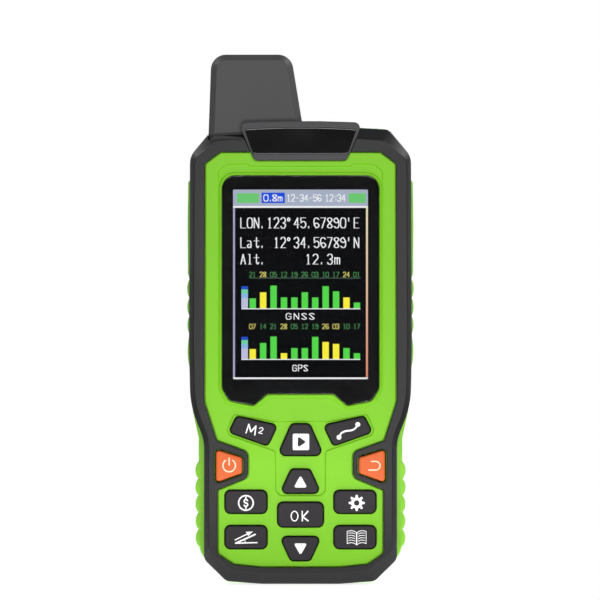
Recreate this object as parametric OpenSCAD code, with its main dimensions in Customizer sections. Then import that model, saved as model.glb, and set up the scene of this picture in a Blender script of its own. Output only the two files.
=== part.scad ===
// Handheld satellite positioning unit: a sealed two-part case with a soft bumper, twelve keys,
// a colour display, a stub antenna, and a battery bay behind a cover with a ring screw.
// Millimetres. +Z is up, the front faces -Y, and the origin is under the middle of the case.

/* [Case] */
// Depth from the middle plane to the front of the bumper
bumper_front = 17; // [16.8:0.1:17.4]
// How far the bumper stands in front of the green face
bumper_proud = 1; // [0.8:0.1:1.2]
// Thickness of the bumper on the sides
bumper_t = 1.5; // [1.3:0.1:1.6]
// Side wall of the front shell
front_wall = 1.8; // [1.6:0.1:1.9]
// Side wall of the rear shell
rear_wall = 2.6; // [2.4:0.1:2.7]
// Height of the grip ribs
rib_h = 1.05; // [0.6:0.05:1.2]

/* [Display] */
// Thickness of the display lens
lens_t = 1; // [0.8:0.1:1.1]
// Width of the raised bead round the lens
bead_w = 0.8; // [0.5:0.1:1]

/* [Keys] */
// How far the dark keys stand in front of the green face
key_proud = 1.2; // [0.9:0.1:1.4]
// Travel of every key
key_travel = 0.6; // [0.3:0.1:0.6]
// Gap between a key and its hole
key_gap = 0.35; // [0.3:0.05:0.4]

/* [Antenna] */
// Height of the antenna's top above the resting face
antenna_top = 165.25; // [164:0.25:170]
// Wall of the antenna cover at its neck
antenna_wall = 1.6; // [1.2:0.1:1.8]

/* [Battery] */
// Width of the battery pack
pack_w = 36; // [30:1:37]
// Length of the battery pack
pack_l = 55; // [45:1:55]
// Thickness of the battery pack
pack_t = 9; // [6:0.5:9]
// Radius of the cover screw's thread
screw_r = 1.95; // [1.5:0.05:1.95]

/* [Hidden] */
$fn = 40;

// Depths, counted along +Y from the front
face_y = bumper_proud - bumper_front;
seat_y = face_y + 0.8;
pocket_y = face_y + 0.5;
lens_y = face_y + 0.8;
ledge_y = lens_y + lens_t + 0.3;
wall_y = face_y + 2.8;
rebate = 1.1;
rebate_y = seat_y + 1.3;
mat_y = wall_y + 1.7;
sheet_y = wall_y + 3.6;
board_y = sheet_y + 0.2;
board_t = 1.2;
board_back = board_y + board_t;
split_front = -5.2;
split_rear = -5;
side_end = 9;
back_y = 15.6;
seat_back = 13.6;
bay_floor = 2;
cover_y = seat_back + 0.3;
cover_t = 3.1;
cap_front = -17.8;
cap_back = -15.4;

// Outlines seen from the front, as [x, z, corner radius], right half from the bottom up
CASE = both([
    [12, 0, 8], [23.2, 0.8, 3], [30.1, 7.7, 3], [30.1, 45, 14], [34.4, 55.6, 30],
    [34.8, 75, 60], [34.5, 133.4, 6], [27.6, 141.75, 3], [19, 142.2, 3]
]);
BUMPER_FACE = both([
    [12, 3.4, 8], [21.5, 4.4, 3], [28.75, 10.3, 3], [28.75, 45.4, 14], [33.05, 56, 30],
    [33.45, 75, 60], [33.2, 132.6, 4], [25.6, 138.4, 2.5], [18.5, 138.9, 3]
]);
REAR = both([
    [12, 0, 8], [23.3, 0.9, 3], [30, 7.6, 3], [30, 44.8, 14], [33.5, 53.6, 30],
    [33.7, 75, 60], [33.7, 133.9, 6], [27.8, 142, 3], [19, 142.5, 3]
]);
GREEN_FACE = both([
    [12, 5.5, 20], [20.8, 6.4, 2], [25.6, 9.7, 1.6], [25.6, 29.3, 0.6], [16.1, 33.2, 2.4],
    [16.1, 41.4, 2.4], [25.8, 44.9, 0.8], [29.7, 57, 6], [29.5, 131, 1.5], [24.8, 134.5, 1.5]
]);
LENS = both([
    [10.3, 59.3, 1.5], [14.6, 55.7, 1.5], [22.2, 57.2, 2.5], [24.5, 61, 3], [24.5, 127.4, 4.1]
]);
KEY_POCKET = both([
    [6.3, 27.4, 0.8], [7.9, 28.9, 0.8], [8, 41.3, 1], [22.2, 46.2, 1], [23.1, 48.1, 1],
    [20.9, 53.2, 1], [8.5, 50.9, 2]
]);
CAP = both([[14.4, 132.1, 1.7], [19.4, 143.9, 1.8], [6, 144.3, 20]]);
CAP_GLASS = both([[14.7, 134, 1], [17.5, 141.9, 0.8], [6, 142.4, 20]]);
COVER = both([[20.5, 16, 4], [20.5, 102, 4]]);
BAY = both([[19.3, 38, 2], [19.3, 98.5, 2]]);
RIM = both([[19, 38.3, 2], [19, 98.2, 2]]);
antenna_z = 139.7;
ANTENNA = [
    [-28.8, antenna_z, 1], [1.5, antenna_z, 1],
    [-2.95, antenna_top, 4.7], [-27.85, antenna_top, 4.7]
];
// Seen from above, as [x, y, corner radius]
NECK = [[-26.3, -11.8, 4], [-3, -11.8, 4], [-3, 6.8, 4], [-26.3, 6.8, 4]];

// Key outlines
function bar_key(x0, z0, x1, z1) = [[x0, z0, 1.6], [x1, z0, 1.6], [x1, z1, 1.6], [x0, z1, 1.6]];
ORANGE_R = [[18.2, 34.7, 0.9], [26.3, 31.8, 0.9], [26.3, 42, 0.9], [18.2, 39.5, 0.9]];
ROUTE = [[10.3, 43.3, 1.2], [22.2, 47.5, 1.2], [19.8, 52.3, 1.2], [7.3, 49.5, 1.2]];
PLAY = both([[7, 40.3, 1.5], [2.75, 49.9, 1.5]]);
UP = both([[6.2, 28.5, 1.3], [2.85, 35.8, 1.3]]);
DOWN = both([[2.95, 7.5, 1.3], [6.3, 14.8, 1.3]]);
OK = bar_key(-7, 18, 7, 25.5);
GEAR = bar_key(10.55, 22.25, 23.4, 29.2);
BOOK = bar_key(10.55, 11.25, 23.4, 18.2);
KEYS = [
    flipped(ORANGE_R), ORANGE_R, flipped(ROUTE), PLAY, ROUTE, UP, OK, DOWN,
    flipped(GEAR), flipped(BOOK), GEAR, BOOK
];

// Fastener places as [x, z]
CASE_SCREWS = pair([[21, 6.2], [28.2, 56], [28, 130.5]]);
BOARD_SCREWS = pair([[27.8, 121], [27.8, 66], [12.5, 36.5]]);
PORT_SCREWS = [[9.5, 122.5], [21, 122.5]];
WIRES = [[-4, 39.6], [0, 39.6], [4, 39.6]];
ring_z = 26.5;
ring_y = 16.2;
dish_r = 8.6;
lug_y = 12.6;
lug_z = 9;
flap_x = [9.3, 24.7];
hole_r = screw_r + 0.07;

function unit(v) = v / norm(v);
function inward(v) = [-v.y, v.x];
function flat(p) = [p.x, p.y];
function both(half) = concat(half, [for (i = [len(half) - 1:-1:0]) [-half[i].x, half[i].y, half[i].z]]);
function flipped(p) = [for (i = [len(p) - 1:-1:0]) [-p[i].x, p[i].y, p[i].z]];
function pair(places) = [for (p = places, s = [-1, 1]) [s * p.x, p.y]];
function middle(p) = [for (k = [0, 1]) let (v = [for (q = p) q[k]]) (min(v) + max(v)) / 2];

// Moves every edge of an outline inward by d, and its corner radii with it
least_r = 0.6;
function inset(p, d) = let (n = len(p)) [
    for (i = [0:n - 1])
        let (
            u = unit(flat(p[i]) - flat(p[(i + n - 1) % n])),
            v = unit(flat(p[(i + 1) % n]) - flat(p[i])),
            m = d * (inward(u) + inward(v)) / (1 + u * v)
        )
        [p[i].x + m.x, p[i].y + m.y, max(least_r, p[i].z - sign(cross(u, v)) * d)]
];

// Points along the arc that rounds corner b between corners a and c
function corner(a, b, c, steps) =
    let (
        u = unit(flat(b) - flat(a)),
        v = unit(flat(c) - flat(b)),
        side = sign(cross(u, v)),
        angle = acos(min(1, max(-1, u * v))),
        room = 0.48 * min(norm(flat(b) - flat(a)), norm(flat(c) - flat(b))),
        run = min(b.z * tan(angle / 2), room),
        start = flat(b) - run * u,
        spoke = -side * run / tan(angle / 2) * inward(u)
    )
    [
        for (k = [0:steps])
            let (w = side * angle * k / steps)
            start - spoke + [spoke.x * cos(w) - spoke.y * sin(w), spoke.x * sin(w) + spoke.y * cos(w)]
    ];
function outline(p, d = 0, steps = 4) = let (q = inset(p, d), n = len(q)) [
    for (i = [0:n - 1]) each corner(q[(i + n - 1) % n], q[i], q[(i + 1) % n], steps)
];

// An outline moved inward by d, standing at depth y
function ring(p, d, y, steps = 4) = [for (q = outline(p, d, steps)) [q.x, y, q.y]];

// Solid through a list of rings from front to back
module loft(rings) {
    n = len(rings[0]);
    last = (len(rings) - 1) * n;
    sides = [
        for (j = [0:len(rings) - 2], i = [0:n - 1])
            let (a = j * n + i, b = j * n + (i + 1) % n)
            each [[a, b, b + n], [a, b + n, a + n]]
    ];
    polyhedron(
        [for (r = rings) each r],
        concat([[for (i = [n - 1:-1:0]) i]], sides, [[for (i = [0:n - 1]) last + i]])
    );
}

// The same solid, cut off square at depths y0 and y1
module trimmed(rings, y0, y1) {
    intersection() {
        loft(rings);
        block([-40, 40], [y0, y1], [-1, 170]);
    }
}

// Slab with an outline seen from the front, between depths y0 and y1
module slab(p, y0, y1, d = 0) {
    translate([0, y1, 0]) rotate([90, 0, 0]) linear_extrude(y1 - y0) polygon(outline(p, d));
}

// Slab with an outline seen from above, between heights z0 and z1
module layer(p, z0, z1, d = 0) {
    translate([0, 0, z0]) linear_extrude(z1 - z0) polygon(outline(p, d));
}

module block(x, y, z) {
    translate([x[0], y[0], z[0]]) cube([x[1] - x[0], y[1] - y[0], z[1] - z[0]]);
}

// Round bar along Y at each [x, z] place
module bars(places, r, y0, y1) {
    for (p = places) translate([p.x, y1, p.y]) rotate([90, 0, 0]) cylinder(h = y1 - y0, r = r);
}

// Space that the antenna takes out of the case and the bumper
module antenna_room() {
    slab(ANTENNA, -15.1, 10, -0.3);
    layer(NECK, 130, 150, -0.2);
}

module case_screw_holes() bars(CASE_SCREWS, 1.55, -11.5, bay_floor + 1);

// Outside of the front shell under the bumper, stepped in round its front edge
module shell_core() {
    slab(CASE, seat_y, rebate_y + 0.1, bumper_t + rebate);
    slab(CASE, rebate_y, split_front, bumper_t);
}

module front_shell() {
    color("#8fdf3a") difference() {
        union() {
            difference() {
                shell_core();
                slab(CASE, wall_y, split_front + 1, bumper_t + front_wall);
            }
            slab(GREEN_FACE, face_y, seat_y + 0.1);
            difference() {
                slab(LENS, face_y - 0.4, face_y + 0.1, -bead_w - 0.1);
                slab(LENS, face_y - 1, face_y + 1, -0.1);
            }
            intersection() {
                slab(CASE, wall_y - 0.1, split_front, bumper_t + 0.1);
                block([-31, 4], [-14, split_front], [136.6, 142]);
            }
            bars(CASE_SCREWS, 3, wall_y - 0.1, split_front);
            bars(BOARD_SCREWS, 2.2, wall_y - 0.1, board_y);
        }
        slab(LENS, face_y - 1, ledge_y, -0.08);
        block([-22.3, 22.3], [face_y, wall_y + 1], [62.3, 124.3]);
        slab(KEY_POCKET, face_y - 1, pocket_y);
        for (k = KEYS) slab(k, face_y - 1, wall_y + 0.1, -key_gap);
        slab(CAP, cap_front, cap_back, -0.05);
        antenna_room();
        case_screw_holes();
        bars(BOARD_SCREWS, 1, wall_y + 0.2, board_y + 1);
    }
}

module front_bumper() {
    color("#3b3a3c") difference() {
        trimmed([
            ring(BUMPER_FACE, 0.6, -0.3 - bumper_front), ring(BUMPER_FACE, 0, 0.3 - bumper_front),
            ring(CASE, 0, -13.4), ring(CASE, 0, -5.8), ring(CASE, 0.8, -4.8)
        ], -bumper_front, split_front);
        shell_core();
        slab(CASE, rebate_y, 0, bumper_t);
        slab(GREEN_FACE, -20, seat_y + 1);
        for (k = [KEYS[0], KEYS[1]]) slab(k, -20, seat_y + 1, -key_gap);
        slab(CAP, cap_front - 1, cap_back, -0.05);
        antenna_room();
        block([-25.9, -17], [-20, 0], [138.7, 146]);
    }
}

module rear_shell() {
    color("#86d635") difference() {
        union() {
            difference() {
                trimmed([
                    ring(REAR, 0, split_rear - 1), ring(REAR, 0, side_end), ring(REAR, 0.9, 11.5),
                    ring(REAR, 2.6, 13.7), ring(REAR, 4.8, 15), ring(REAR, 8, back_y + 0.2)
                ], split_rear, back_y);
                slab(REAR, split_rear - 1, side_end - 0.5, rear_wall);
                slab(REAR, side_end - 1, 11.3, rear_wall + 3);
            }
            slab(BAY, bay_floor - 2, seat_back, -1.8);
            intersection() {
                slab(REAR, split_rear, 11.4, 0.5);
                block([-31, 4], [split_rear, 11.4], [136.6, 142]);
            }
            bars(CASE_SCREWS, 3.6, split_rear, 11.4);
            bars([[0, ring_z]], 5.4, 4.4, seat_back);
            bars(PORT_SCREWS, 2.2, 1.8, 12);
            block([-14, 14], [7.8, 12], [1.5, 14.4]);
        }
        slab(BAY, bay_floor, 20);
        slab(COVER, seat_back, 20, -0.3);
        antenna_room();
        case_screw_holes();
        bars(CASE_SCREWS, 2.8, bay_floor, 20);
        bars([[0, ring_z]], 4.3, 12.4, 20);
        bars([[0, ring_z]], 3.4, 5.4, 13);
        bars(PORT_SCREWS, 0.85, 1, 7);
        bars(WIRES, 0.7, -1, 3);
        block([9, 25], [-1, 8.5], [141, 150]);
        block([12.3, 21.6], [1.3, 5.2], [138, 150]);
        for (x = [[-12, -3], [3, 12]]) block(x, [10, 20], [6, 12]);
        translate([-4, lug_y, lug_z]) rotate([0, 90, 0]) cylinder(h = 8, r = 1.7);
    }
}

// Outer edge of a grip: scallops between notches, each a half wave with a broad top
function scallops(z0, pitch, count, x, h) = [
    for (i = [0:count * 8])
        [x + h * pow(abs(sin(180 * i / 8)), 0.6), z0 + pitch * i / 8]
];
GRIP = concat(
    [[28, 7.4], [29.8, 7.5], [31.2, 9.4]],
    scallops(11.4, 5.3, 5, 31.8, rib_h),
    [[31.9, 40], [31.9, 45.4], [32.4, 47.6], [33.8, 54], [34.4, 60], [34.6, 66]],
    scallops(67.3, 10.4, 1, 34.8, 0.7 * rib_h),
    scallops(77.9, 5.7, 3, 34.8, 0.7 * rib_h),
    [[35.3, 97], [35.4, 112], [35.2, 125.6], [34.4, 126.9], [28, 127]]
);
GRIP_SECTION = [[25, -4.9], [34.9, -4.9], [36, -3.9], [36, 5.5], [35.2, 7.4], [33.6, 8.8], [25, 8.8]];

module grip(side) {
    color("#8fdf3a") scale([side, 1, 1]) difference() {
        intersection() {
            translate([0, 8.8, 0]) rotate([90, 0, 0]) linear_extrude(13.7) polygon(GRIP);
            linear_extrude(140) polygon(GRIP_SECTION);
        }
        slab(REAR, -6, 10);
    }
}
module grip_left() grip(-1);
module grip_right() grip(1);

module case_gasket() {
    color("#202020") difference() {
        slab(CASE, split_front, split_rear, bumper_t + 0.2);
        slab(CASE, split_front - 1, split_rear + 1, bumper_t + 1.4);
        layer(NECK, 130, 150, -0.2);
        slab(ANTENNA, -15.1, 10, -0.3);
    }
}

module case_screws() {
    color("#8a8c90") difference() {
        union() {
            bars(CASE_SCREWS, 1.45, -11, bay_floor);
            bars(CASE_SCREWS, 2.5, bay_floor, bay_floor + 2.2);
        }
        for (p = CASE_SCREWS)
            translate([p.x, bay_floor + 3, p.y]) rotate([90, 0, 0]) cylinder(h = 2.2, r = 1.3, $fn = 6);
    }
}

module top_cap() {
    color("#565658") difference() {
        union() {
            loft([ring(CAP, 0.5, cap_front), ring(CAP, 0, cap_front + 0.5), ring(CAP, 0, cap_back)]);
            block([2.8, 17.2], [cap_back - 0.1, -8], [142.25, 144]);
        }
        slab(CAP_GLASS, cap_front - 1, cap_front + 0.8);
    }
}

module cap_window() color("#141414") slab(CAP_GLASS, cap_front + 0.05, cap_front + 0.8, 0.05);

module antenna_cover() {
    color("#595959") difference() {
        union() {
            loft([
                ring(ANTENNA, 1.8, -14.8, 6), ring(ANTENNA, 0, -11, 6), ring(ANTENNA, 0, 6.6, 6),
                ring(ANTENNA, 1, 8.6, 6), ring(ANTENNA, 2.8, 9.7, 6)
            ]);
            layer(NECK, 134.8, antenna_z + 2.5);
            layer(NECK, 134.8, 136.2, -1.2);
        }
        layer(NECK, 134, 159.8, antenna_wall);
    }
}

antenna_xy = [-14.6, -2.5];
module antenna_element() {
    color("#d8cfae") translate([antenna_xy.x, antenna_xy.y, 136]) {
        cylinder(h = 1, r = 7.6);
        difference() {
            cylinder(h = 23, r = 7);
            translate([0, 0, 1]) cylinder(h = 30, r = 6);
        }
    }
}

module antenna_seal() {
    color("#202020") difference() {
        layer(NECK, 136.2, 136.6, -1.1);
        layer(NECK, 136, 137, -0.02);
    }
}

cable_y = antenna_xy.y;
cable_bend = 2.5;
cable_r = 0.6;
module antenna_cable() {
    color("#333333") translate([antenna_xy.x, cable_y, 0]) {
        translate([0, 0, 114.5]) cylinder(h = 136 - 114.5, r = cable_r);
        translate([0, -cable_bend, 114.5]) rotate([0, 90, 0])
            rotate_extrude(angle = 90) translate([cable_bend, 0]) circle(r = cable_r);
    }
}

module display_lens() color("#101014") slab(LENS, lens_y, lens_y + lens_t);

module lens_gasket() {
    color("#1c1c1c") difference() {
        slab(LENS, lens_y + lens_t, ledge_y, 0.1);
        block([-22.4, 22.4], [face_y, wall_y + 1], [62.2, 124.4]);
    }
}

LCD = [[-25, 58.5, 0.6], [25, 58.5, 0.6], [25, 128, 0.6], [-25, 128, 0.6]];
lcd_back = wall_y + 2.2;
module lcd_panel() color("#1a2a4a") slab(LCD, wall_y + 0.2, lcd_back);

module lcd_frame() {
    color("#b8bcc0") difference() {
        slab(LCD, wall_y + 0.5, lcd_back + 0.4, -0.45);
        slab(LCD, wall_y, lcd_back, -0.05);
    }
}

module lcd_flex() {
    color("#c98a2c") {
        block([-8, 8], [lcd_back - 0.4, lcd_back - 0.2], [56.8, 58]);
        block([-8, 8], [lcd_back - 0.2, board_y], [56.8, 57]);
    }
}

MAT = both([[21, 8.6, 2], [25.4, 12, 2], [25.4, 46, 3], [26.6, 53.4, 2]]);
module key_mat() {
    color("#d9d9d9") difference() {
        slab(MAT, mat_y, mat_y + 0.6);
        for (k = KEYS) bars([middle(k)], 1.9, mat_y - 1, mat_y + 1);
        bars(BOARD_SCREWS, 2.4, mat_y - 1, mat_y + 1);
        bars(CASE_SCREWS, 3.2, mat_y - 1, mat_y + 1);
    }
}

module dome_sheet() {
    color("#e6c65a") difference() {
        union() {
            slab(MAT, sheet_y, board_y);
            for (k = KEYS) bars([middle(k)], 2.4, sheet_y - 0.25, sheet_y + 0.1);
        }
        bars(BOARD_SCREWS, 2.4, sheet_y - 1, sheet_y + 1);
        bars(CASE_SCREWS, 3.2, sheet_y - 1, sheet_y + 1);
    }
}

module main_board() {
    color("#1e6b3a") difference() {
        intersection() {
            slab(CASE, board_y, board_back, bumper_t + front_wall + 0.9);
            block([-40, 40], [-20, 0], [2, 132.6]);
        }
        bars(CASE_SCREWS, 3.4, -12, 0);
        bars(BOARD_SCREWS, 1.1, -12, 0);
    }
}

module board_screws() {
    color("#8a8c90") {
        bars(BOARD_SCREWS, 0.95, wall_y + 0.6, board_back);
        bars(BOARD_SCREWS, 1.9, board_back, board_back + 1.3);
    }
}

module gnss_module() {
    color("#c4c8cc") {
        block([-24, -6], [board_back, board_back + 2.6], [103, 121]);
        bars([[antenna_xy.x, 112]], 1.4, board_back + 2.6, cable_y - cable_bend);
    }
}
module processor_shield() color("#c4c8cc") block([-4, 22], [board_back, board_back + 2.2], [74, 98]);
module buzzer() color("#161616") bars([[17, 22]], 5, board_back, board_back + 2.6);

module port_board() {
    color("#1e6b3a") difference() {
        block([6.5, 23.9], [0.6, 1.8], [119, 138.5]);
        bars(PORT_SCREWS, 1, 0, 3);
    }
}
module port_screws() {
    color("#8a8c90") {
        bars(PORT_SCREWS, 0.8, 0.6, 6);
        bars(PORT_SCREWS, 1.7, -0.5, 0.6);
    }
}
module port_flex() color("#c98a2c") block([13, 19], [board_back, 1.8], [118.7, 119]);

module usb_socket() {
    color("#b8bcc0") difference() {
        block([12.6, 21.3], [1.8, 5], [133, 139.8]);
        block([13, 20.9], [2.2, 4.6], [134, 141]);
    }
}

module usb_flap() {
    color("#2a2a2c") {
        block(flap_x, [-0.7, 8.2], [141.1, 142.5]);
        block([13.2, 20.7], [2.4, 4.4], [139.95, 141.2]);
    }
}

module battery_cover() {
    color("#38383a") difference() {
        union() {
            loft([
                ring(COVER, 0, cover_y), ring(COVER, 0, back_y + 0.4),
                ring(COVER, 1, cover_y + cover_t)
            ]);
            difference() {
                slab(RIM, cover_y - 1.7, cover_y + 0.1);
                slab(RIM, cover_y - 3, cover_y, 1.2);
            }
        }
        bars([[0, ring_z]], dish_r, cover_y + 1.2, 20);
        bars([[0, ring_z]], 2.27, 10, 20);
    }
}

module cover_seal() {
    color("#c8502c") difference() {
        slab(COVER, seat_back, cover_y, 0.3);
        slab(BAY, seat_back - 1, cover_y + 1, -0.1);
        bars([[0, ring_z]], 4.3, 10, 20);
    }
}

module cover_pad() color("#555555") block([-14, 14], [cover_y - 1.9, cover_y], [48, 92]);

module battery_pack() {
    color("#2f62b8") translate([-pack_w / 2, bay_floor + 0.3, 42.2]) cube([pack_w, pack_t, pack_l]);
}

module battery_contacts() {
    color("#caa64a") {
        block([-7, 7], [bay_floor, bay_floor + 4], [38.2, 41]);
        for (p = WIRES) block([p.x - 0.8, p.x + 0.8], [bay_floor + 1.5, bay_floor + 3], [41, 42.2]);
    }
}

module battery_wires() color("#b03030") bars(WIRES, 0.6, board_back, bay_floor);

module cover_screw() {
    color("#9a9ca0") difference() {
        union() {
            bars([[0, ring_z]], 3.6, cover_y + 1.3, -cap_front);
            bars([[0, ring_z]], 2.2, 13.5, 15.3);
            bars([[0, ring_z]], screw_r, 6.4, 13.6);
        }
        translate([-5, ring_y, ring_z]) rotate([0, 90, 0]) cylinder(h = 10, r = 0.87);
    }
}

module screw_clip() {
    color("#5a5a5a") difference() {
        bars([[0, ring_z]], 3.4, 12.9, 13.5);
        bars([[0, ring_z]], screw_r, 12, 14);
    }
}

module screw_insert() {
    color("#b9923f") difference() {
        bars([[0, ring_z]], 3.4, 5.5, 12.4);
        bars([[0, ring_z]], hole_r, 6, 13);
    }
}

wire_r = 0.8;
ring_r = 6.9;
module pull_ring() {
    color("#9a9ca0") translate([0, ring_y, ring_z]) {
        translate([-ring_r, 0, 0]) rotate([0, 90, 0]) cylinder(h = 2 * ring_r, r = wire_r);
        rotate([90, 0, 0]) rotate([0, 0, 180])
            rotate_extrude(angle = 180) translate([ring_r, 0]) circle(r = wire_r);
    }
}

// A key with its face, a flange behind the front wall where there is room, and a plunger
module key_cap(p, front, flange) {
    loft([ring(p, 0.7, front), ring(p, 0.25, front + 0.15), ring(p, 0, front + 0.6), ring(p, 0, wall_y + 0.3)]);
    slab(p, wall_y + 0.2, wall_y + 0.9, -flange);
    bars([middle(p)], 1.5, wall_y + 0.8, sheet_y - 0.3 - key_travel);
}
dark_front = face_y - key_proud;
orange_front = dark_front - 0.4;
module dark_key(i) color("#46424a") key_cap(KEYS[i], dark_front, 0.8);
module orange_key(i) color("#ff7a38") key_cap(KEYS[i], orange_front, 0);
module key_power() orange_key(0);
module key_back() orange_key(1);
module key_area() dark_key(2);
module key_play() dark_key(3);
module key_route() dark_key(4);
module key_up() dark_key(5);
module key_ok() dark_key(6);
module key_down() dark_key(7);
module key_price() dark_key(8);
module key_slope() dark_key(9);
module key_settings() dark_key(10);
module key_book() dark_key(11);

front_shell();
front_bumper();
rear_shell();
grip_left();
grip_right();
case_gasket();
case_screws();
top_cap();
cap_window();
antenna_cover();
antenna_element();
antenna_seal();
antenna_cable();
display_lens();
lens_gasket();
lcd_panel();
lcd_frame();
lcd_flex();
key_mat();
dome_sheet();
main_board();
board_screws();
gnss_module();
processor_shield();
buzzer();
port_board();
port_screws();
port_flex();
usb_socket();
usb_flap();
battery_cover();
cover_seal();
cover_pad();
battery_pack();
battery_contacts();
battery_wires();
cover_screw();
screw_clip();
screw_insert();
pull_ring();
key_power();
key_back();
key_area();
key_play();
key_route();
key_up();
key_ok();
key_down();
key_price();
key_slope();
key_settings();
key_book();
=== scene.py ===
import math

import bmesh
import bpy
import numpy as np
from mathutils.geometry import delaunay_2d_cdt
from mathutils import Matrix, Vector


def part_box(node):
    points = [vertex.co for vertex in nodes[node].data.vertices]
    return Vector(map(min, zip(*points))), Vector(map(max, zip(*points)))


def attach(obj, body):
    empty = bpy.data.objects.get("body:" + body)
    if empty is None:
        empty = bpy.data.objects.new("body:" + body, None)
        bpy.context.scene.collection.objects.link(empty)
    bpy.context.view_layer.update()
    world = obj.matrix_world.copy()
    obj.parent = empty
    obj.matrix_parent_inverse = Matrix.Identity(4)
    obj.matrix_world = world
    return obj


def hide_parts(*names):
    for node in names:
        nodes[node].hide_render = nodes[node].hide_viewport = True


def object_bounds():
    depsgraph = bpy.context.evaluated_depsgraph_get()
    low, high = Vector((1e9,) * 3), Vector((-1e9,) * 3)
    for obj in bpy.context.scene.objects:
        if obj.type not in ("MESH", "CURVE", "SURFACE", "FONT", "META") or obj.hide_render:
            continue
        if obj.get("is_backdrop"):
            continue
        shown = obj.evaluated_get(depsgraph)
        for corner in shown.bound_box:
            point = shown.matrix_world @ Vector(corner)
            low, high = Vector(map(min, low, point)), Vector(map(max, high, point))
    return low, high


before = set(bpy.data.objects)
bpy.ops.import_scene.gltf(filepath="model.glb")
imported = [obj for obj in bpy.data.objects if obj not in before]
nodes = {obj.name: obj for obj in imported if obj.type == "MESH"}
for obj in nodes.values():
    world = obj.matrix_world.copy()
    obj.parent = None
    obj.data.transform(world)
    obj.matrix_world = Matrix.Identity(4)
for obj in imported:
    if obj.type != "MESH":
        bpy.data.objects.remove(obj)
cad_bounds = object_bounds()

# ---- Front shell ---------------------------------------------------------------------------------
# The front half of the case, moulded in satin lime green plastic with a fine spark-eroded grain.
# It carries the bead round the display, the step round the centre keys and a hole for every key.

MM = 0.001
face_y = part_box("front_bumper")[0].y / MM + 1
seat_y = face_y + 0.8
wall_y = face_y + 2.8
ledge = wall_y - 0.7
split_y = -5.2
shell_inset, shell_wall = 1.5, 1.8
cap_floor = -15.4
key_gap, hole_fillet, face_lip = 0.35, 0.15, 0.35
rebate, rebate_y = 1.1, seat_y + 1.3
bead_w, bead_h = 0.85, 0.42
groove_w, groove_d = 0.45, 0.12
pocket_d, pocket_ramp = 0.5, 0.42
shelf_d, shelf_ramp = 0.45, 0.32


def both(half):
    """Closed outline from its right half: the half, then its mirror image in reverse order."""
    return half + [[-x, z, r] for x, z, r in half[::-1]]


def flipped(corners):
    """The same outline mirrored left to right, in reverse order."""
    return [[-x, z, r] for x, z, r in corners[::-1]]


# Outlines seen from the front, as [x, z, corner radius] in mm, right half from the bottom up
CASE = both([
    [12, 0, 8], [23.2, 0.8, 3], [30.1, 7.7, 3], [30.1, 45, 14], [34.4, 55.6, 30],
    [34.8, 75, 60], [34.5, 133.4, 6], [27.6, 141.75, 3], [19, 142.2, 3],
])
GREEN_FACE = both([
    [12, 5.5, 20], [20.8, 6.4, 2], [25.6, 9.7, 1.6], [25.6, 29.3, 0.6], [16.1, 33.2, 2.4],
    [16.1, 41.4, 2.4], [25.8, 44.9, 0.8], [29.7, 57, 6], [29.5, 131, 1.5], [24.8, 134.5, 1.5],
])
LENS = both([
    [10.3, 59.3, 1.5], [14.6, 55.7, 1.5], [22.2, 57.2, 2.5], [24.5, 61, 3], [24.5, 127.4, 4.1],
])
KEY_POCKET = both([
    [6.3, 27.4, 0.8], [7.9, 28.9, 0.8], [8, 41.3, 1], [22.2, 46.2, 1], [23.1, 48.1, 1],
    [20.9, 53.2, 1], [8.5, 50.9, 2],
])
SHELF = both([[26.4, 112, 1], [25.6, 128.9, 1.5], [23, 131, 1.5], [16.6, 131.2, 1], [15.4, 130.4, 1]])
CAP = both([[14.4, 132.1, 1.7], [19.4, 143.9, 1.8], [6, 144.3, 20]])
ANTENNA = [[-28.8, 138.1, 1], [1.5, 138.1, 1], [-2.95, 165.25, 4.7], [-27.85, 165.25, 4.7]]
NECK = [[-26.3, -11.8, 4], [-3, -11.8, 4], [-3, 6.8, 4], [-26.3, 6.8, 4]]


def bar_key(x0, z0, x1, z1):
    """Upright rectangle with rounded corners, from its lowest corner to its highest."""
    return [[x0, z0, 1.6], [x1, z0, 1.6], [x1, z1, 1.6], [x0, z1, 1.6]]


BACK_KEY = [[18.2, 34.7, 0.9], [26.3, 31.8, 0.9], [26.3, 42, 0.9], [18.2, 39.5, 0.9]]
ROUTE_KEY = [[10.3, 43.3, 1.2], [22.2, 47.5, 1.2], [19.8, 52.3, 1.2], [7.3, 49.5, 1.2]]
SETTINGS_KEY = bar_key(10.55, 22.25, 23.4, 29.2)
BOOK_KEY = bar_key(10.55, 11.25, 23.4, 18.2)
ORANGE_KEYS = {"power": flipped(BACK_KEY), "back": BACK_KEY}
DARK_KEYS = {
    "area": flipped(ROUTE_KEY), "play": both([[7, 40.3, 1.5], [2.75, 49.9, 1.5]]), "route": ROUTE_KEY,
    "up": both([[6.2, 28.5, 1.3], [2.85, 35.8, 1.3]]), "ok": bar_key(-7, 18, 7, 25.5),
    "down": both([[2.95, 7.5, 1.3], [6.3, 14.8, 1.3]]), "price": flipped(SETTINGS_KEY),
    "slope": flipped(BOOK_KEY), "settings": SETTINGS_KEY, "book": BOOK_KEY,
}


def unit(v):
    """Vectors divided by their own lengths."""
    return v / np.linalg.norm(v, axis=-1, keepdims=True)


def left(v):
    """The vector turned a quarter turn anticlockwise."""
    return np.stack([-v[..., 1], v[..., 0]], -1)


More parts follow.
